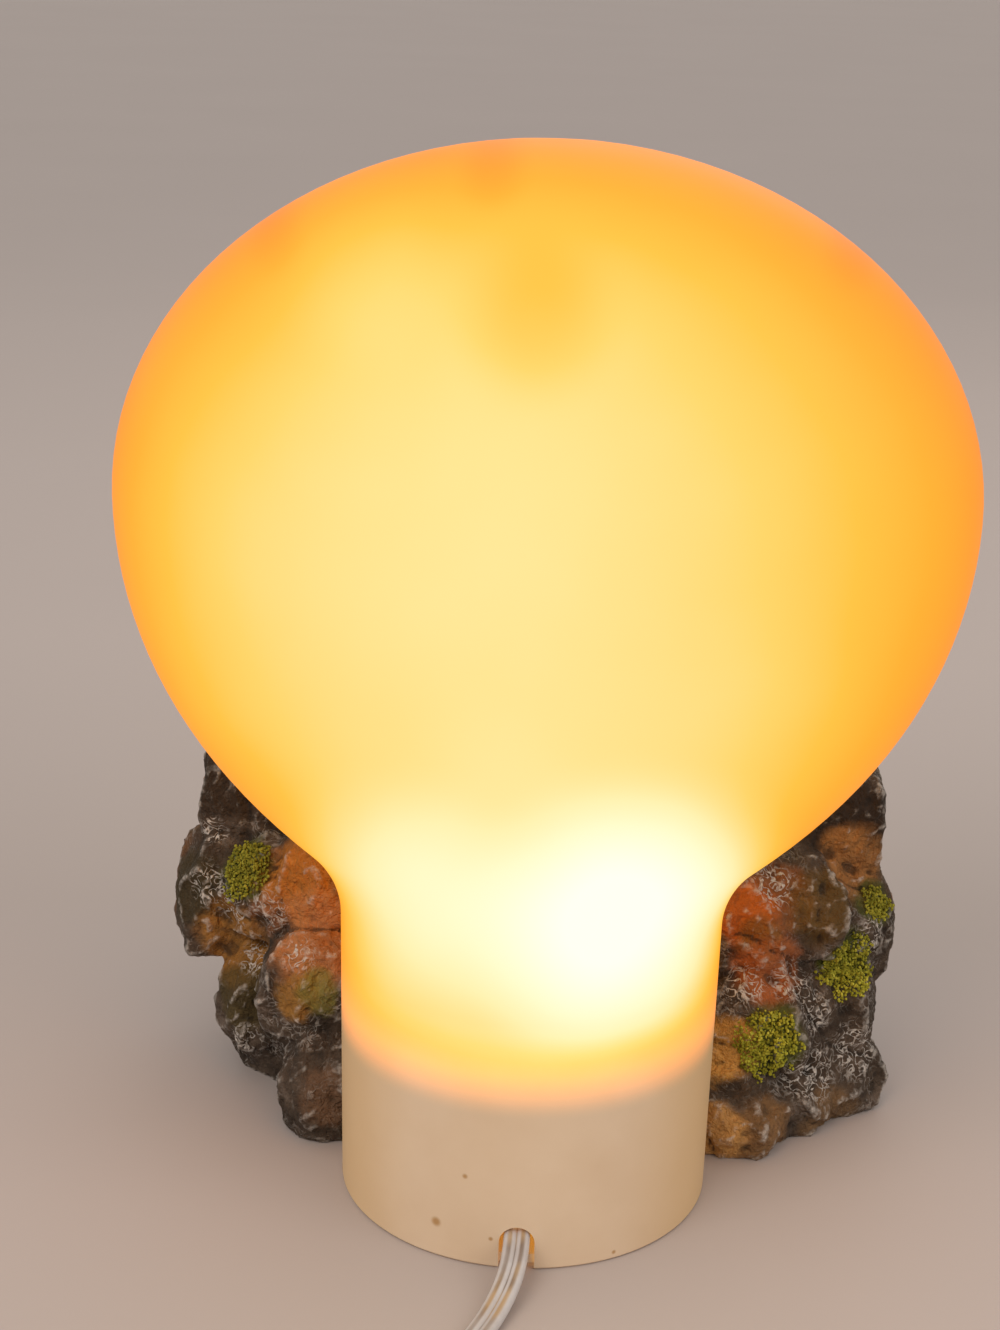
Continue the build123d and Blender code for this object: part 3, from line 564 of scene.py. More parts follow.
@dataclass(frozen=True)
class PaintedRock(Finish):
    """Cast rock painted by hand: a dark wash in creases, smooth patches of colour, curly pale dry brush;
    beside the lamp's neck the patches also carry painted glow.
    """

    zones: tuple[PaintAndGlowZone, ...]
    # Where the brush went most: centre and reach
    brushed: Spots
    # Colours dabbed over the front, which has no zones, and the depths between which they set in
    tints: tuple[str, ...] = ("5e4a24", "86613b", "a8662f")
    front: tuple[float, float] = (46.0, 62.0)
    stone_stops: Stops = ((0.3, "2f261d"), (0.44, "473a2f"), (0.56, "594a3d"), (0.72, "76665a"))
    stone_grain: float = 9.0
    # How far the patches' borders wander, and over what distance
    wander: float = 7.0
    wander_size: float = 7.0
    blot: float = 24.0
    grit: float = 1.1
    curl: float = 2.8
    fleck: float = 8.0
    crag: float = 4.0
    crag_depth: float = 0.7

    def build(self) -> Material:
        """Makes the painted rock.

        Returns:
            The material.
        """
        material, add, shader, place = self.start()
        warp = add("TexNoise", {"Vector": place, "Scale": 1 / self.wander_size, "Detail": 3.0})
        warp = (warp.outputs["Color"], (self.wander,) * 3, place)
        shift = add("VectorMath", warp, operation="MULTIPLY_ADD")
        shift = add("VectorMath", (shift, (self.wander / 2,) * 3), operation="SUBTRACT")
        stone = add(
            "TexNoise", {"Vector": shift, "Scale": 1 / self.stone_grain, "Detail": 7.0, "Roughness": 0.65})
        colour, painted = self.patches(add, shift, stone, add("ValToRGB", (stone,), self.stone_stops))
        edge = add("Attribute", attribute_name="edge").outputs["Fac"]
        crease = add("MapRange", (edge, 0.06, 0.4, 0.7, 0.0), interpolation_type="SMOOTHSTEP")
        colour = add("MixRGB", (crease, colour, linear("2a221b")))
        pale = self.dry_brush(add, place, edge, painted)
        crags = add(
            "TexNoise",
            {"Vector": place, "Scale": 1 / self.crag, "Detail": 5.0, "Roughness": 0.6, "Offset": 1.0,
             "Gain": 2.0},
            noise_type="RIDGED_MULTIFRACTAL", normalize=False)
        rough = add("Math", (pale, 0.2, crags), operation="MULTIPLY_ADD")
        fill(shader, {
            "Base Color": add("MixRGB", (pale, colour, linear("dcd4cb"))),
            "Normal": add("Bump", {"Strength": 1.0, "Distance": self.crag_depth * MM, "Height": rough}),
            "Roughness": 0.85,
            "Specular IOR Level": 0.3,
            "IOR": 1.48,
        })
        return material

    def patches(self, add: Adder, shift: Node, stone: Node, colour: Node) -> tuple[Node, Node | float]:
        """Lays the patches of colour over the stone.

        Args:
            add: adds a node to the material.
            shift: coordinates in millimetres, moved about so that no patch has a round border.
            stone: the stone's own light and dark, which shows through the paint.
            colour: the bare stone's colour.

        Returns:
            The painted colour, and how much of the stone is covered.
        """
        thin = add("MapRange", (stone, 0.35, 0.6, 0.72, 1.0))
        depth = add("SeparateXYZ", (shift,)).outputs["Y"]
        front = add("MapRange", (depth, *self.front, 0.0, 0.85))
        blots = add("TexNoise", {"Vector": shift, "Scale": 1 / self.blot, "Detail": 3.0})
        blots = add("SeparateColor", (blots.outputs["Color"],))
        for blot, tint in zip(blots.outputs, self.tints):
            cover = add("MapRange", (blot, 0.5, 0.62), interpolation_type="SMOOTHSTEP")
            cover = add("Math", (cover, front), operation="MULTIPLY")
            colour = add("MixRGB", (cover, colour, linear(tint)))
        covered: Node | float = 0.0
        for zone in self.zones:
            cover = soft_spot(add, shift, zone.centre, 0.6 * zone.reach, zone.reach, zone.strength)
            cover = add("Math", (cover, thin), operation="MULTIPLY")
            colour = add("MixRGB", (cover, colour, linear(zone.colour)))
            covered = add("Math", (covered, cover), operation="MAXIMUM")
        return colour, covered

    def dry_brush(self, add: Adder, place: NodeSocket, edge: NodeSocket, painted: Node | float) -> Node:
        """Works out where pale paint caught: on the rock's edges, and in curly strokes on the bare stone.

        Args:
            add: adds a node to the material.
            place: coordinates in millimetres.
            edge: how far a place stands out, from 0 in a crease to 1 on an edge.
            painted: how much of the stone is covered with colour.

        Returns:
            A node whose value is the pale paint's cover.
        """
        curl = add("TexNoise", {"Vector": place, "Scale": 1 / self.curl, "Detail": 1.0, "Distortion": 1.6})
        off_line = add("Math", (curl, 0.5), operation="SUBTRACT")
        off_line = add("Math", (off_line,), operation="ABSOLUTE")
        stroke = add("MapRange", (off_line, 0.025, 0.06, 1.0, 0.0), interpolation_type="SMOOTHSTEP")
        flecks = add("TexNoise", {"Vector": place, "Scale": 1 / self.fleck, "Detail": 2.0})
        amount = add("MapRange", (flecks, 0.44, 0.62, 0.0, 0.35))
        bare = add("MapRange", (painted, 0.0, 0.7, 1.0, 0.12))
        amount = add("Math", (amount, bare), operation="MULTIPLY")
        for centre, reach in self.brushed:
            spot = soft_spot(add, place, centre, 0.4 * reach, reach, 1.0)
            amount = add("Math", (amount, spot), operation="MAXIMUM")
        stroke = add("Math", (stroke, amount), operation="MULTIPLY")
        worn = add("MapRange", (edge, 0.66, 1.0, 0.0, 0.6), interpolation_type="SMOOTHSTEP")
        both = add("Math", (stroke, worn), operation="MAXIMUM")
        grit = add("TexNoise", {"Vector": place, "Scale": 1 / self.grit, "Detail": 3.0})
        broken = add("MapRange", (grit, 0.36, 0.56, 0.2, 0.95))
        return add("Math", (both, broken), operation="MULTIPLY", use_clamp=True)


@dataclass(frozen=True)
class MossFlock(Finish):
    """Dyed flock for model moss: dull yellow green fibre crumbs, with a painted shade that darkens them
    higher up, towards the dome's underside.
    """

    crumb: float = 1.6
    crumb_stops: Stops = ((0.3, "6a6820"), (0.5, "a5a233"), (0.7, "d4d054"))
    # Heights between which the painted shade darkens the flock
    old: tuple[float, float] = (24.0, 50.0)

    def build(self) -> Material:
        """Makes the flock.

        Returns:
            The material.
        """
        material, add, shader, place = self.start()
        crumbs = add("TexNoise", {"Vector": place, "Scale": 1 / self.crumb, "Detail": 3.0})
        colour = add("ValToRGB", (crumbs,), self.crumb_stops)
        height = add("SeparateXYZ", (place,)).outputs["Z"]
        # Painted shade: the flock darker higher up, towards the dome's underside
        old = add("MapRange", (height, *self.old, 0.0, 0.5))
        fill(shader, {
            "Base Color": add("MixRGB", (old, colour, linear("565622"))),
            "Roughness": 0.95,
            "Specular IOR Level": 0.15,
        })
        return material


@dataclass(frozen=True)
class ClearCord(Finish):
    """Clear PVC insulation: milky with age, with the copper as ochre streaks and a painted shade along the
    groove between.
    """

    haze: float = 5.0
    haze_depth: float = 0.08
    strand: float = 8.0
    patch: float = 16.0
    copper_stops: Stops = ((0.38, "6e4f30"), (0.6, "c09a64"))
    # How much copper colour is laid on, from the groove to the outer edge: over the cores it is the copper
    # showing, at the groove a painted shade
    copper_and_groove_shade_stops: Stops = (
        (0.0, "ffffff"), (0.05, "909090"), (0.12, "000000"), (0.26, "303030"), (0.4, "ffffff"),
        (0.58, "f0f0f0"), (0.74, "303030"), (0.9, "000000"))

    def build(self) -> Material:
        """Makes the insulation.

        Returns:
            The material.
        """
        material, add, shader, place = self.start()
        haze = add("TexNoise", {"Vector": place, "Scale": 1 / self.haze, "Detail": 3.0})
        milk = add("ValToRGB", (haze,), ((0.3, "d2cccb"), (0.7, "e6e2e2")))
        across = add("Attribute", attribute_name="across").outputs["Fac"]
        # Copper colour over the cores, and at the groove between them a painted shade
        copper_and_groove_shade = add("ValToRGB", (across,), self.copper_and_groove_shade_stops)
        strands = add("TexNoise", {"Vector": place, "Scale": 1 / self.strand, "Detail": 1.0})
        copper = add("ValToRGB", (strands,), self.copper_stops)
        patchy = add("TexNoise", {"Vector": place, "Scale": 1 / self.patch, "Detail": 1.0})
        seen = add("MapRange", (patchy, 0.36, 0.6, 0.2, 0.85))
        copper_and_shade_shown = add("Math", (copper_and_groove_shade, seen), operation="MULTIPLY")
        fill(shader, {
            "Base Color": add("MixRGB", (copper_and_shade_shown, milk, copper)),
            "Normal": add("Bump", {"Strength": 0.15, "Distance": self.haze_depth * MM, "Height": haze}),
            "Roughness": 0.28,
            "IOR": 1.53,
            "Transmission Weight": 0.2,
        })
        return material


@dataclass(frozen=True)
class CopperStrand(Finish):
    """Bunched bare copper: fine strands laid on a slant, dulled to ochre by the insulation."""

    lay: float = 1.6
    lay_stops: Stops = ((0.1, "6b4420"), (0.6, "b98446"))

    def build(self) -> Material:
        """Makes the copper.

        Returns:
            The material.
        """
        material, add, shader, place = self.start()
        lay = add("TexWave", {"Vector": place, "Scale": 1 / self.lay}, bands_direction="DIAGONAL")
        fill(shader, {
            "Base Color": add("ValToRGB", (lay,), self.lay_stops),
            "Metallic": 0.6,
            "Roughness": 0.45,
        })
        return material


WHITE_ABS = MouldedPlastic("white_abs_moulded", "e4e0d6", "d6d1c5", 0.42)
PHENOLIC = MouldedPlastic("black_phenolic_moulded", "2a2422", "1d1917", 0.32)
BLACK_GLASS = MouldedPlastic("black_fused_glass", "181719", "0e0d0f", 0.12, 2.0, 0.01)
SWITCH_PLASTIC = MouldedPlastic("ivory_urea_moulded", "e6dfcf", "dbd2bf", 0.34)
TIE_PLASTIC = MouldedPlastic("white_pe_strip", "eceae4", "dad7cf", 0.5, 0.5, 0.03)
SPRING_STEEL = RolledMetal("spring_steel_rolled", "b9bab8", "8d8f90", 0.3)
BRASS = RolledMetal("brass_rolled", "cfab5c", "a57f3b", 0.26)
CAP_METAL = RolledMetal("nickel_plated_brass", "d3cdbf", "a9a294", 0.22)
SCREW_STEEL = RolledMetal("zinc_plated_steel", "c4c6c4", "969a9a", 0.3)
CLEAR_GLASS = BlownGlass("clear_blown_glass", "f1f5f2")
TUNGSTEN = HotWire("tungsten_wire_hot")
CORD_SHEATH = ClearCord("clear_pvc_cord")
CORD_COPPER = CopperStrand("bunched_copper_strand")
MOSS = MossFlock("moss_flock_dyed")


@dataclass
class LampShell:
    """The hollow casting: round neck, flare, wide flattened dome, and an arched cord notch. Millimetres."""

    neck_foot: float = 38.0
    neck_top: float = 38.6
    flare: float = 22.0
    half_width: float = 82.8
    half_depth: float = 46.0
    centre: float = 145.0
    crown: float = 68.2
    wall: float = 4.0
    foot_wall: float = 2.5
    glow_line: float = 36.6
    edge_round: float = 0.5
    notch_width: float = 7.0
    notch_height: float = 9.5
    notch_sides: int = 48
    segments: int = 160
    neck_steps: int = 12
    flare_steps: int = 12
    dome_steps: int = 20
    crown_steps: int = 28

    def levels(self, inset: float) -> list[Level]:
        """Works out the form's rings from table height to just under its top.

        Args:
            inset: how far the form is drawn in from every side wall.

        Returns:
            The rings, in rising order.
        """
        neck = self.neck_top - inset
        flare = self.flare + inset
        dome = self.half_width - inset
        depth = self.half_depth - inset
        drop = math.sqrt((dome + flare) ** 2 - (neck + flare) ** 2)
        meet = math.atan2(drop, neck + flare)
        flare_start = self.centre - drop
        rings = []
        for step in range(self.neck_steps):
            share = step / self.neck_steps
            radius = neck - (self.neck_top - self.neck_foot) * (1 - share)
            rings.append(Level(radius, radius, share * flare_start))
        sides = []
        for step in range(self.flare_steps):
            angle = meet * step / self.flare_steps
            sides.append((neck + flare - flare * math.cos(angle), flare_start + flare * math.sin(angle)))
        for step in range(self.dome_steps):
            angle = meet * (1 - step / self.dome_steps)
            sides.append((dome * math.cos(angle), self.centre - dome * math.sin(angle)))
        for half_width, height in sides:
            share = (height - flare_start) / drop
            widen = (depth - neck) * (1 - math.cos(math.pi * share)) / 2
            rings.append(Level(half_width, neck + widen, height))
        for step in range(self.crown_steps):
            angle = math.pi / 2 * step / self.crown_steps
            height = self.centre + (self.crown - inset) * math.sin(angle)
            rings.append(Level(dome * math.cos(angle), depth * math.cos(angle), height))
        return rings

    @cached_property
    def outside(self) -> list[Level]:
        """The rings of the outside."""
        return self.levels(0.0)

    def outer_size(self, height: float) -> tuple[float, float]:
        """Reads the outside's size between its rings.

        Args:
            height: a height over the table in millimetres.

        Returns:
            The half-width and the half-depth there.
        """
        rings = self.outside
        for low, high in zip(rings, rings[1:]):
            if low.height <= height <= high.height:
                share = (height - low.height) / (high.height - low.height)
                width = low.half_width + share * (high.half_width - low.half_width)
                return width, low.half_depth + share * (high.half_depth - low.half_depth)
        return rings[-1].half_width, rings[-1].half_depth

    def build(self) -> Object:
        """Makes the shell, which stands for its CAD node.

        Returns:
            The finished shell.
        """
        foot = self.neck_foot
        bore = foot - self.foot_wall
        rounded = self.edge_round
        bm = bmesh.new()
        start = Level(foot - rounded, foot - rounded, 0.0)
        bmesh.ops.create_circle(bm, segments=self.segments, radius=start.half_width * MM)
        rim = list(bm.edges)
        top = raise_rings(bm, rim, start, [Level(foot, foot, rounded)] + self.outside[1:])
        bmesh.ops.pointmerge(bm, verts=top, merge_co=mm(0, 0, self.centre + self.crown))
        inside = [Level(bore + rounded, bore + rounded, 0.0), Level(bore, bore, rounded)]
        inside.append(Level(bore, bore, self.glow_line))
        inside += [ring for ring in self.levels(self.wall) if ring.height > self.glow_line]
        roof = raise_rings(bm, rim, start, inside)
        bmesh.ops.pointmerge(bm, verts=roof, merge_co=mm(0, 0, self.centre + self.crown - self.wall))
        bmesh.ops.recalc_face_normals(bm, faces=bm.faces)
        shell = mesh_object("lamp_shell_cast", bm)
        self.cut_notch(shell)
        dress(shell, LitResin("cast_resin_lit", self.half_depth, self.glow_line, foot).build())
        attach(shell, Body.ROOT.value)
        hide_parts("lamp_shell")
        return shell

    def cut_notch(self, shell: Object) -> None:
        """Cuts the arched notch through the foot's back wall.

        Args:
            shell: the shell, whose mesh is changed.
        """
        half = self.notch_width / 2
        spring = self.notch_height - half
        bm = bmesh.new()
        bmesh.ops.create_circle(bm, cap_ends=True, segments=self.notch_sides, radius=half * MM)
        upright = Matrix.Rotation(math.radians(90), 4, "X")
        bmesh.ops.transform(bm, matrix=Matrix.Translation(mm(0, 0, spring)) @ upright, verts=bm.verts)
        for vert in bm.verts:
            if vert.co.z < spring * MM - 1e-7:
                vert.co.z = -MM
        made = bmesh.ops.extrude_face_region(bm, geom=list(bm.faces))["geom"]
        moved = [item for item in made if isinstance(item, BMVert)]
        bmesh.ops.translate(bm, vec=mm(0, -4 * self.foot_wall, 0), verts=moved)
        bmesh.ops.translate(bm, vec=mm(0, 2 * self.foot_wall - self.neck_foot, 0), verts=bm.verts)
        bmesh.ops.recalc_face_normals(bm, faces=bm.faces)
        cutter = mesh_object("notch_cutter", bm)
        cut = shell.modifiers.new("notch", "BOOLEAN")
        cut.operation = "DIFFERENCE"
        cut.solver = "EXACT"
        cut.object = cutter
        apply_modifiers(shell)
        shell.data.set_sharp_from_angle(angle=math.radians(SHARP_ANGLE))
        bpy.data.objects.remove(cutter)


@dataclass
class MossPatches:
    """Clumps of flock crumbs glued on the rock, as centre and reach of each patch. Millimetres."""

    patches: Spots = (
        ((-63.5, 36.0, 49.6), 6.2), ((75.7, 44.0, 44.7), 3.6), ((69.2, 34.1, 33.3), 6.4),
        ((51.2, 17.1, 22.3), 7.0))
    crumb: float = 0.36
    spread: float = 0.6
    layers: int = 5
    # Share of places that get a crumb, and how it changes from the middle of a patch to its border
    fullness: float = 0.9
    middle: float = 1.1
    thinning: float = 0.4
    # How far a border wanders, as a share of the patch's reach, over what distance, and how far out to look
    ragged: float = 0.5
    ragged_size: float = 3.0
    margin: float = 1.3
    seed: int = 7

    def build(self, rock: Object) -> Object:
        """Strews crumbs over the rock's skin, thinner towards the border of each patch.

        Args:
            rock: the rock, with its finished skin.

        Returns:
            The moss.
        """
        chance = random.Random(self.seed)
        bm = bmesh.new()
        for centre, reach in self.patches:
            middle = Vector(centre)
            look = self.margin * reach
            near = [vert for vert in rock.data.vertices if (vert.co / MM - middle).length < look]
            for vert in near * self.layers:
                away = (vert.co / MM - middle).length / reach
                border = away + self.ragged * noise.noise(vert.co / MM / self.ragged_size)
                if border > 1.0 or chance.random() > self.fullness * (self.middle - self.thinning * away):
                    continue
                size = self.crumb * chance.uniform(0.6, 1.25) * MM
                turn = Euler([chance.uniform(0, math.pi) for _ in range(3)]).to_matrix().to_4x4()
                flatten = Matrix.Diagonal((1.0, chance.uniform(0.6, 1.0), chance.uniform(0.7, 1.0), 1.0))
                stray = Vector([chance.uniform(-self.spread, self.spread) for _ in range(3)]) * MM
                spot = Matrix.Translation(vert.co + stray + vert.normal * size)
                bmesh.ops.create_icosphere(bm, subdivisions=1, radius=size, matrix=spot @ turn @ flatten)
        moss = mesh_object("moss_patches", bm)
        dress(moss, MOSS.build())
        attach(moss, Body.ROOT.value)
        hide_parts("moss_pads")
        return moss


@dataclass
class RockLedge:
    """The rock ledge before the neck: piled boulders under one rough painted skin, with moss. Millimetres."""

    voxel: float = 0.85
    weld: float = 0.01
    round_over: int = 2
    crack_spread: float = 22.0
    crack_share: float = 0.08
    crack_depth: float = 0.8
    lump_size: float = 9.0
    lump_height: float = 0.7
    crag_size: float = 8.0
    crag_height: float = 1.1
    crag_middle: float = 1.15
    # The crags' ridged noise: fall of strength, step of size, octaves, offset and gain
    crag_noise: tuple[float, float, int, float, float] = (0.9, 2.1, 5, 1.0, 2.0)
    clearance: float = 0.35
    edge_rounds: int = 16
    edge_rise: float = 0.45
    # Patches of colour. Beside the neck, on both sides, the orange is partly the rock's paint and partly
    # painted glow from the lamp
    zones: tuple[PaintAndGlowZone, ...] = (
        PaintAndGlowZone((-70.0, 47.0, 68.0), 14.0, "362719", 0.9),
        PaintAndGlowZone((-78.0, 40.0, 43.0), 11.0, "40351a", 0.85),
        PaintAndGlowZone((-64.0, 36.0, 50.0), 8.5, "5e641c", 0.9),
        PaintAndGlowZone((-52.0, 27.0, 52.0), 13.0, "c67a27", 0.9),
        PaintAndGlowZone((-47.0, 22.0, 40.0), 13.0, "ca8650", 0.8),
        PaintAndGlowZone((-65.5, 37.0, 32.0), 12.0, "aa742f", 0.9),
        PaintAndGlowZone((-64.0, 30.0, 22.0), 10.0, "52441f", 0.85),
        PaintAndGlowZone((-50.5, 16.0, 28.5), 6.5, "a8762f", 0.8),
        PaintAndGlowZone((-45.5, 16.0, 31.0), 6.5, "807a36", 0.8),
        PaintAndGlowZone((-58.7, 28.6, 42.3), 6.5, "a06a46", 0.75),
        # Painted glow: the lamp's neck lighting the low rock beside it
        PaintAndGlowZone((-42.6, 5.1, 10.9), 8.0, "7c5a40", 0.6),
        PaintAndGlowZone((66.5, 45.0, 65.0), 14.0, "2f2116", 0.9),
        PaintAndGlowZone((69.0, 46.0, 53.0), 11.0, "b67e45", 0.9),
        PaintAndGlowZone((53.5, 28.0, 52.0), 10.0, "94582c", 0.85),
        PaintAndGlowZone((46.0, 24.5, 49.0), 9.0, "c4651f", 0.9),
        PaintAndGlowZone((63.0, 30.5, 49.0), 10.0, "6b5022", 0.85),
        PaintAndGlowZone((49.5, 23.0, 44.0), 7.0, "835a26", 0.85),
        PaintAndGlowZone((76.0, 43.5, 45.0), 6.5, "4e531e", 0.9),
        PaintAndGlowZone((69.0, 35.0, 34.0), 8.0, "5e641c", 0.9),
        PaintAndGlowZone((52.0, 24.5, 37.0), 10.0, "b86834", 0.85),
        PaintAndGlowZone((52.5, 17.0, 23.0), 9.5, "5e641c", 0.9),
        # Ochre paint brightened with painted glow from the lamp's neck beside it
        PaintAndGlowZone((42.0, 17.0, 21.0), 8.5, "f4b258", 0.9),
        PaintAndGlowZone((50.0, 10.0, 4.0), 10.5, "8c663e", 0.9),
        PaintAndGlowZone((66.0, 22.0, 2.0), 10.0, "7d5f3f", 0.9),
        PaintAndGlowZone((40.0, 6.0, 6.0), 9.0, "d69d58", 0.85),
    )
    brushed: Spots = (
        ((-73.2, 39.0, 43.9), 6.0), ((-67.3, 35.7, 41.1), 7.0), ((-58.7, 28.6, 42.3), 7.0),
        ((-60.6, 34.6, 29.2), 6.0), ((-50.0, 20.0, 37.3), 5.0), ((-63.2, 28.9, 11.4), 5.0),
        ((56.9, 25.2, 33.5), 7.0), ((61.8, 24.6, 27.1), 7.0), ((60.9, 22.5, 13.0), 9.0),
        ((72.4, 31.0, 15.2), 9.0), ((51.4, 30.2, 53.7), 7.0), ((74.4, 39.4, 38.7), 6.0),
        ((46.1, 22.0, 33.9), 6.0), ((-72.2, 46.2, 54.4), 4.5), ((12.0, 92.0, 26.0), 9.0),
        ((-20.0, 90.0, 30.0), 8.0), ((52.0, 80.0, 30.0), 9.0), ((-52.0, 84.0, 45.0), 9.0),
        ((50.0, 90.0, 8.0), 8.0))

    def build(self, shell: LampShell) -> list[Object]:
        """Makes the rock.

        Args:
            shell: the shell that the rock stands clear of.

        Returns:
            The rock and the moss on it.
        """
        bm = bmesh.new()
        bm.from_mesh(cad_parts["rock_base"].data)
        bmesh.ops.remove_doubles(bm, verts=bm.verts, dist=self.weld * MM)
        rock = mesh_object("rock_ledge", bm, 180.0)
        skin = rock.modifiers.new("skin", "REMESH")
        skin.mode = "VOXEL"
        skin.voxel_size = self.voxel * MM
        soften = rock.modifiers.new("soften", "SMOOTH")
        soften.iterations = self.round_over
        apply_modifiers(rock)
        self.roughen(rock.data, shell)
        self.mark_edges(rock)
        rock.data.shade_smooth()
        dress(rock, PaintedRock("painted_cast_rock", self.zones, self.brushed).build())
        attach(rock, Body.ROOT.value)
        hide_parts("rock_base")
        return [rock, MossPatches().build(rock)]

    def rise(self, place: Vector) -> float:
        """Works out how far the skin stands out of the plain boulders: thin cracks, lumps and sharp crags.

        Args:
            place: a point of the skin in millimetres.

        Returns:
            The rise there in millimetres.
        """
        crack = max(0.0, 1 - abs(noise.noise(place / self.crack_spread)) / self.crack_share)
        lump = noise.noise(place / self.lump_size)
        crag = noise.ridged_multi_fractal(place / self.crag_size, *self.crag_noise) - self.crag_middle
        return self.lump_height * lump + self.crag_height * crag - self.crack_depth * crack

    def roughen(self, mesh: Mesh, shell: LampShell) -> None:
        """Moves the skin's points out and in, and keeps them off the shell and the table.

        Args:
            mesh: the rock's mesh, which is changed.
            shell: the shell that the rock stands clear of.
        """
        moved = []
        for vert in mesh.vertices:
            place = vert.co / MM
            place = place + vert.normal * self.rise(place)
            height = max(place.z, 0.0)
            half_width, half_depth = shell.outer_size(height)
            across = place.x / (half_width + self.clearance)
            span = math.hypot(across, place.y / (half_depth + self.clearance))
            push = max(1.0, 1.0 / max(span, 0.01))
            moved += [place.x * push * MM, place.y * push * MM, height * MM]
        mesh.vertices.foreach_set("co", moved)
        mesh.update()

    def mark_edges(self, rock: Object) -> None:
        """Keeps how far each point stands out of a smoothed copy, from 0 in a crease to 1 on an edge.

        Args:
            rock: the rock, whose mesh gets the attribute edge.
        """
        soften = rock.modifiers.new("soften", "SMOOTH")
        soften.iterations = self.edge_rounds
        graph = bpy.context.evaluated_depsgraph_get()
        even = bpy.data.meshes.new_from_object(rock.evaluated_get(graph))
        rock.modifiers.clear()
        values = []
        for vert, smooth in zip(rock.data.vertices, even.vertices):
            out = (vert.co - smooth.co).dot(vert.normal) / MM
            values.append(min(max(0.5 + 0.5 * out / self.edge_rise, 0.0), 1.0))
        rock.data.attributes.new("edge", "FLOAT", "POINT").data.foreach_set("value", values)
        bpy.data.meshes.remove(even)


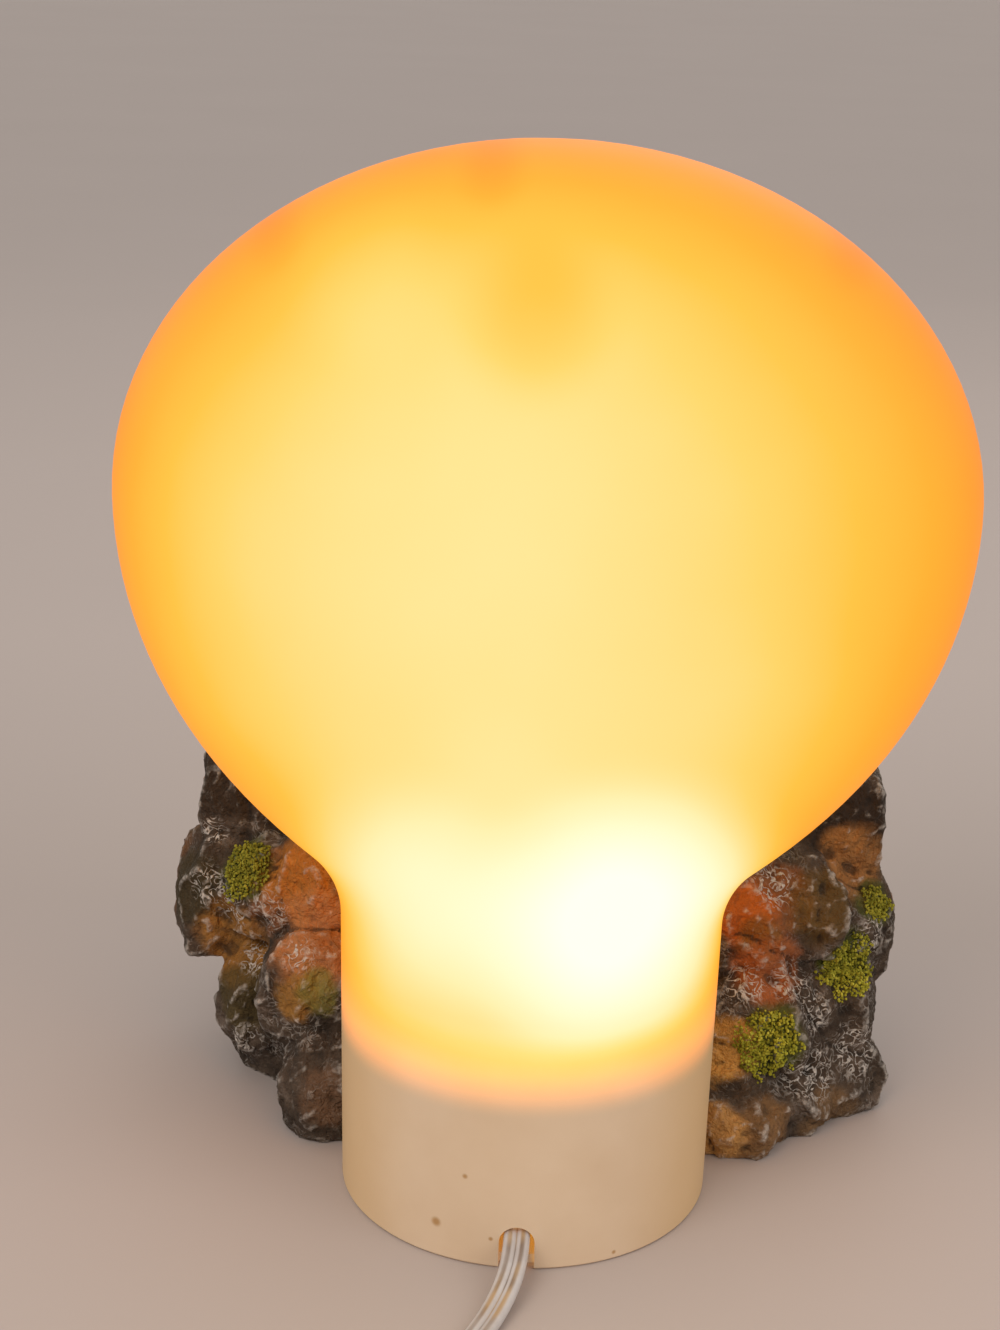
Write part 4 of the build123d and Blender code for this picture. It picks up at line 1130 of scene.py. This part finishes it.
@dataclass
class FlexCord:
    """One stretch of the flat twin cord: a sheath with two round cores. Millimetres."""

    name: str
    nodes: tuple[str, ...]
    points: tuple[Point, ...]
    turns: tuple[tuple[float, CordTurn], ...] = ((0.0, CordTurn.FLAT),)
    lobe: float = 1.35
    spacing: float = 2.5
    web: float = 1.5
    core: float = 0.62
    # How far a lobe goes round, as a multiple of a half circle
    wrap: float = 5 / 3
    section_sides: int = 28
    core_sides: int = 8
    sharp_angle: float = 70.0
    smoothness: int = 3
    path: list[Vector] = field(default_factory=list)

    def follow(self) -> list[Vector]:
        """Reads the smooth line of the cord's route.

        Returns:
            Points along a spline that has the route's points as its control points, in metres.
        """
        curve = bpy.data.curves.new(self.name + "_route", "CURVE")
        curve.dimensions = "3D"
        curve.resolution_u = self.smoothness
        spline = curve.splines.new("NURBS")
        spline.points.add(len(self.points) - 1)
        for control, point in zip(spline.points, self.points):
            control.co = (*mm(*point), 1.0)
        spline.order_u = 3
        spline.use_endpoint_u = True
        holder = bpy.data.objects.new(self.name + "_route", curve)
        line = bpy.data.meshes.new_from_object(holder)
        found = [vert.co.copy() for vert in line.vertices]
        bpy.data.objects.remove(holder)
        bpy.data.meshes.remove(line)
        bpy.data.curves.remove(curve)
        return found

    def roll(self, along: float) -> float:
        """Reads the turn of the cord's width from the level.

        Args:
            along: a length along the cord in millimetres.

        Returns:
            The turn there in radians.
        """
        before = self.turns[0]
        for key in self.turns:
            if key[0] > along:
                share = (along - before[0]) / (key[0] - before[0])
                return math.radians(before[1].value + share * (key[1].value - before[1].value))
            before = key
        return math.radians(before[1].value)

    def stations(self) -> list[Matrix]:
        """Works out where the cord's section stands along its line.

        Returns:
            One placing a point: x along the cord's width, y through its thickness, z along the line.
        """
        placings = []
        along = 0.0
        last = len(self.path) - 1
        for number, point in enumerate(self.path):
            behind = self.path[max(number - 1, 0)]
            along += (point - behind).length / MM
            ahead = (self.path[min(number + 1, last)] - behind).normalized()
            level = ahead.cross(Vector((0, 0, 1))).normalized()
            turn = self.roll(along)
            width = level * math.cos(turn) + level.cross(ahead) * math.sin(turn)
            through = ahead.cross(width)
            axes = Matrix((width, through, ahead)).transposed().to_4x4()
            placings.append(Matrix.Translation(point) @ axes)
        return placings

    def section(self, bm: BMesh) -> list[BMVert]:
        """Draws the sheath's figure of eight and marks how far each point lies from its middle.

        Args:
            bm: an empty mesh, which gets the ring and the attribute across.

        Returns:
            The ring's vertices.
        """
        across = bm.verts.layers.float.new("across")
        verts = bmesh.ops.create_circle(bm, segments=self.section_sides, radius=1.0)["verts"]
        for vert in verts:
            angle = math.atan2(vert.co.y, abs(vert.co.x)) * self.wrap
            if abs(vert.co.x) < 1e-6:
                vert.co.y = math.copysign(self.web / 2, vert.co.y) * MM
            else:
                side = math.copysign(1.0, vert.co.x)
                vert.co.x = side * (self.spacing / 2 + self.lobe * math.cos(angle)) * MM
                vert.co.y = self.lobe * math.sin(angle) * MM
            vert[across] = abs(vert.co.x) / MM / (self.spacing / 2 + self.lobe)
        return verts

    def sweep(self, bm: BMesh, verts: list[BMVert], placings: Sequence[Matrix]) -> None:
        """Draws a closed ring of vertices along the placings and closes both ends.

        Args:
            bm: the mesh that holds the ring.
            verts: the ring, in its section's plane at the origin.
            placings: where the section stands, in order.
        """
        ring = set(verts)
        edges = [edge for edge in bm.edges if set(edge.verts) <= ring]
        bmesh.ops.edgeloop_fill(bm, edges=edges)
        bmesh.ops.transform(bm, matrix=placings[0], verts=verts)
        for here, there in zip(placings, placings[1:]):
            verts, edges = extrude_ring(bm, edges)
            bmesh.ops.transform(bm, matrix=there @ here.inverted(), verts=verts)
        bmesh.ops.edgeloop_fill(bm, edges=edges)

    def build(self) -> list[Object]:
        """Makes the stretch, whose sheath stands for the CAD nodes.

        Returns:
            The sheath and the cores inside it.
        """
        self.path = self.follow()
        placings = self.stations()
        bm = bmesh.new()
        self.sweep(bm, self.section(bm), placings)
        bmesh.ops.recalc_face_normals(bm, faces=bm.faces)
        sheath = mesh_object(self.name, bm, self.sharp_angle)
        bm = bmesh.new()
        for side in (-1, 1):
            made = bmesh.ops.create_circle(bm, segments=self.core_sides, radius=self.core * MM)
            bmesh.ops.translate(bm, vec=mm(side * self.spacing / 2, 0, 0), verts=made["verts"])
            self.sweep(bm, made["verts"], placings)
        bmesh.ops.recalc_face_normals(bm, faces=bm.faces)
        cores = mesh_object(self.name + "_cores", bm, self.sharp_angle)
        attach(sheath, Body.ROOT.value)
        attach(cores, Body.ROOT.value)
        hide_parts(*self.nodes)
        return [sheath, cores]


@dataclass
class PutAwayCoil:
    """The cord's length wound away: in along the lower layer, up, and out along the upper. Millimetres."""

    start: Point = (31.0, -191.0, 3.5)
    turns: float = 8.25
    middle_radius: float = 31.0
    pitch: float = 3.7
    layer: float = 6.1
    dip: float = 2.0
    lead: float = 5.2
    points_a_turn: int = 24

    def points(self) -> list[Point]:
        """Works out the coil's route.

        Returns:
            Its points, from the end of the straight lead to the end of the last turn.
        """
        whole = 2 * math.pi * self.turns
        inner = self.middle_radius - self.pitch * self.turns / 4
        outer = inner + self.pitch * self.turns / 2
        centre_x = self.start[0] + self.lead
        centre_y = self.start[1] + outer
        count = round(self.turns * self.points_a_turn)
        route = []
        for number in range(count + 1):
            angle = whole * number / count
            past_middle = angle - whole / 2
            radius = inner + self.pitch * abs(past_middle) / (2 * math.pi)
            climb = min(max(past_middle / math.pi + 0.5, 0.0), 1.0)
            if 0 < climb < 1:
                radius -= self.dip * math.cos(past_middle) ** 2
            height = self.start[2] + self.layer * (1 - math.cos(math.pi * climb)) / 2
            turn = angle - math.pi / 2
            route.append((centre_x + radius * math.cos(turn), centre_y + radius * math.sin(turn), height))
        return route


@dataclass
class CordSet:
    """The whole cord: inside the foot, to the switch, and on to the plug. Millimetres."""

    width: float = 5.2
    inside: tuple[Point, ...] = (
        (14.0, 0.0, 21.5), (14.0, 0.0, 14.8), (11.5, -7.0, 9.6), (6.4, -16.9, 8.4), (1.1, -27.7, 8.2),
        (0.0, -32.7, 7.9), (0.0, -36.75, 7.2))
    to_switch: tuple[Point, ...] = (
        (0.0, -36.75, 7.2), (0.0, -42.5, 6.2), (-1.2, -48.8, 3.7), (-3.8, -56.0, 1.6), (-7.2, -64.6, 1.4),
        (-10.4, -74.0, 3.2), (-13.7, -83.3, 5.6), (-16.0, -92.0, 6.0), (-18.3, -100.7, 6.0))
    from_switch: tuple[Point, ...] = (
        (-28.2, -137.4, 6.0), (-30.5, -146.1, 6.0), (-32.8, -154.8, 5.6), (-32.4, -164.8, 4.2),
        (-29.0, -174.3, 2.2), (-22.8, -182.2, 1.4), (-14.6, -188.0, 1.4), (-5.0, -191.0, 1.4),
        (5.0, -191.0, 1.4))
    plug_end: Point = (74.83, -121.2, 7.0)
    twist: float = 26.0
    switch_side_length: float = 78.0
    coil_length: float = 1600.0

    def build(self) -> list[Object]:
        """Makes the cord in three stretches.

        Returns:
            All the cord's pieces.
        """
        sheath = CORD_SHEATH.build()
        copper = CORD_COPPER.build()
        coil = PutAwayCoil()
        turns = coil.points()
        tail = (turns[-1][0], turns[-1][1] + coil.lead, turns[-1][2])
        wound = self.from_switch + (coil.start,) + tuple(turns) + (tail, self.plug_end)
        on_edge = self.switch_side_length + self.twist
        off_edge = on_edge + self.coil_length
        keys = (
            (0.0, CordTurn.FLAT), (self.switch_side_length, CordTurn.FLAT), (on_edge, CordTurn.ON_EDGE),
            (off_edge, CordTurn.ON_EDGE), (off_edge + self.twist, CordTurn.FLAT))
        inner = FlexCord("flex_in_foot", ("cord_inside",), self.inside)
        first = FlexCord("flex_to_switch", ("cord_lamp_side",), self.to_switch)
        second = FlexCord("flex_to_plug", ("cord_switch_side", "cord_coil", "cord_plug_side"), wound, keys)
        made = []
        for stretch in (inner, first, second):
            pieces = stretch.build()
            dress(pieces[0], sheath)
            dress(pieces[1], copper)
            made += pieces
        return made


@dataclass
class DressedNodes:
    """The CAD pieces whose own shapes stay, each with its finish."""

    finishes: tuple[tuple[Finish, tuple[str, ...]], ...] = (
        (WHITE_ABS, ("lamp_plate", "base_cover")),
        (PHENOLIC, ("socket_body",)),
        (SPRING_STEEL, ("socket_clips", "bulb_leads")),
        (BRASS, ("socket_thread_shell", "socket_centre_contact", "switch_axle", "switch_contacts",
                 "plug_blades")),
        (CAP_METAL, ("bulb_cap", "bulb_tip")),
        (BLACK_GLASS, ("bulb_insulator",)),
        (CLEAR_GLASS, ("bulb_glass", "bulb_stem")),
        (TUNGSTEN, ("bulb_filament",)),
        (SWITCH_PLASTIC, ("switch_base", "switch_cover", "switch_wheel", "plug_body")),
        (SCREW_STEEL, ("switch_screws",)),
        (TIE_PLASTIC, ("coil_tie",)),
    )

    def build(self) -> list[Object]:
        """Dresses the nodes.

        Returns:
            Their objects.
        """
        dressed = []
        for finish, names in self.finishes:
            material = finish.build()
            for name in names:
                dress(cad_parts[name], material)
                dressed.append(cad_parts[name])
        return dressed


@dataclass
class Studio:
    """The floor, the light and the camera. Millimetres."""

    camera_place: Point = (7.38, -425.63, 258.2)
    right: Point = (0.9987, 0.0447, 0.0265)
    up: Point = (-0.0395, 0.3235, 0.9454)
    ahead: Point = (-0.0336, 0.9452, -0.3248)
    sensor: float = 36.0
    lens: float = 62.26
    nearest: float = 10.0
    floor_reach: float = 20000.0
    floor_grain: float = 240.0
    floor_stops: Stops = ((0.3, "bfb3ae"), (0.7, "c1b5b0"))
    # The floor's painted shade from the front to the back, darkest a little past the night light, and the
    # depths where it starts and ends
    floor_shade_stops: Stops = ((0.0, "fcfcfc"), (0.3, "f4f4f4"), (0.54, "eaeaea"), (0.9, "f8f8f8"))
    floor_depths: tuple[float, float] = (-200.0, 400.0)
    surround: str = "f2ece6"
    surround_strength: float = 0.74
    lamp_colour: str = "fff6ec"
    # Name, place, size and watts of each soft lamp
    lamps: tuple[tuple[str, Point, float, float], ...] = (
        ("key", (-420.0, -620.0, 720.0), 600.0, 3.0),
        ("fill", (520.0, -420.0, 520.0), 600.0, 1.2),
        ("back", (200.0, 700.0, 700.0), 700.0, 1.0),
    )
    lamps_aim: Point = (0.0, 0.0, 90.0)

    def build(self) -> None:
        """Builds the floor, the light and the camera."""
        self.build_floor()
        self.build_light()
        self.build_camera()
        bpy.context.scene.view_settings.view_transform = "Standard"

    def build_floor(self) -> None:
        """Makes a plain pale floor with a soft grain, and a painted shade that darkens it a little around the
        night light.
        """
        bm = bmesh.new()
        bmesh.ops.create_grid(bm, x_segments=1, y_segments=1, size=self.floor_reach * MM)
        floor = mesh_object("floor", bm)
        material, add, shader, place = Finish("painted_floor").start()
        grain = add("TexNoise", {"Vector": place, "Scale": 1 / self.floor_grain, "Detail": 3.0})
        colour = add("ValToRGB", (grain,), self.floor_stops)
        depth = add("SeparateXYZ", (place,)).outputs["Y"]
        # Painted shade: the floor a little darker around the night light, by depth
        floor_shade = add("ValToRGB", (add("MapRange", (depth, *self.floor_depths)),), self.floor_shade_stops)
        fill(shader, {
            "Base Color": add("MixRGB", (1.0, colour, floor_shade), blend_type="MULTIPLY"),
            "Roughness": 0.6,
        })
        dress(floor, material)

    def build_light(self) -> None:
        """Sets an even pale surround and large soft lamps."""
        world = bpy.data.worlds.new("studio")
        bpy.context.scene.world = world
        world.use_nodes = True
        fill(world.node_tree.nodes["Background"], (linear(self.surround), self.surround_strength))
        for name, place, size, watts in self.lamps:
            lamp = bpy.data.lights.new(name, "AREA")
            lamp.shape = "DISK"
            lamp.size = size * MM
            lamp.energy = watts
            lamp.color = linear(self.lamp_colour)[:3]
            holder = put_in_scene(name, lamp)
            holder.location = mm(*place)
            holder.rotation_euler = (mm(*self.lamps_aim) - mm(*place)).to_track_quat("-Z", "Y").to_euler()

    def build_camera(self) -> None:
        """Places the camera where the photograph was taken from."""
        camera = bpy.data.cameras.new("camera")
        camera.sensor_width = self.sensor
        camera.lens = self.lens
        camera.clip_start = self.nearest * MM
        holder = put_in_scene("camera", camera)
        back = -Vector(self.ahead)
        axes = Matrix((Vector(self.right), Vector(self.up), back)).transposed().to_4x4()
        holder.matrix_world = Matrix.Translation(mm(*self.camera_place)) @ axes
        bpy.context.scene.camera = holder


def main() -> None:
    """Builds every sub-assembly in order and reports its pieces."""
    logging.basicConfig(level=logging.INFO, format="%(name)s: %(message)s")
    Studio().build()
    shell = LampShell()
    pieces = CordSet().build()
    pieces.append(shell.build())
    pieces += RockLedge().build(shell)
    pieces += DressedNodes().build()
    for piece in pieces:
        LOG.info("%s: %d faces", piece.name, len(piece.data.polygons))


if __name__ == "__main__":
    main()
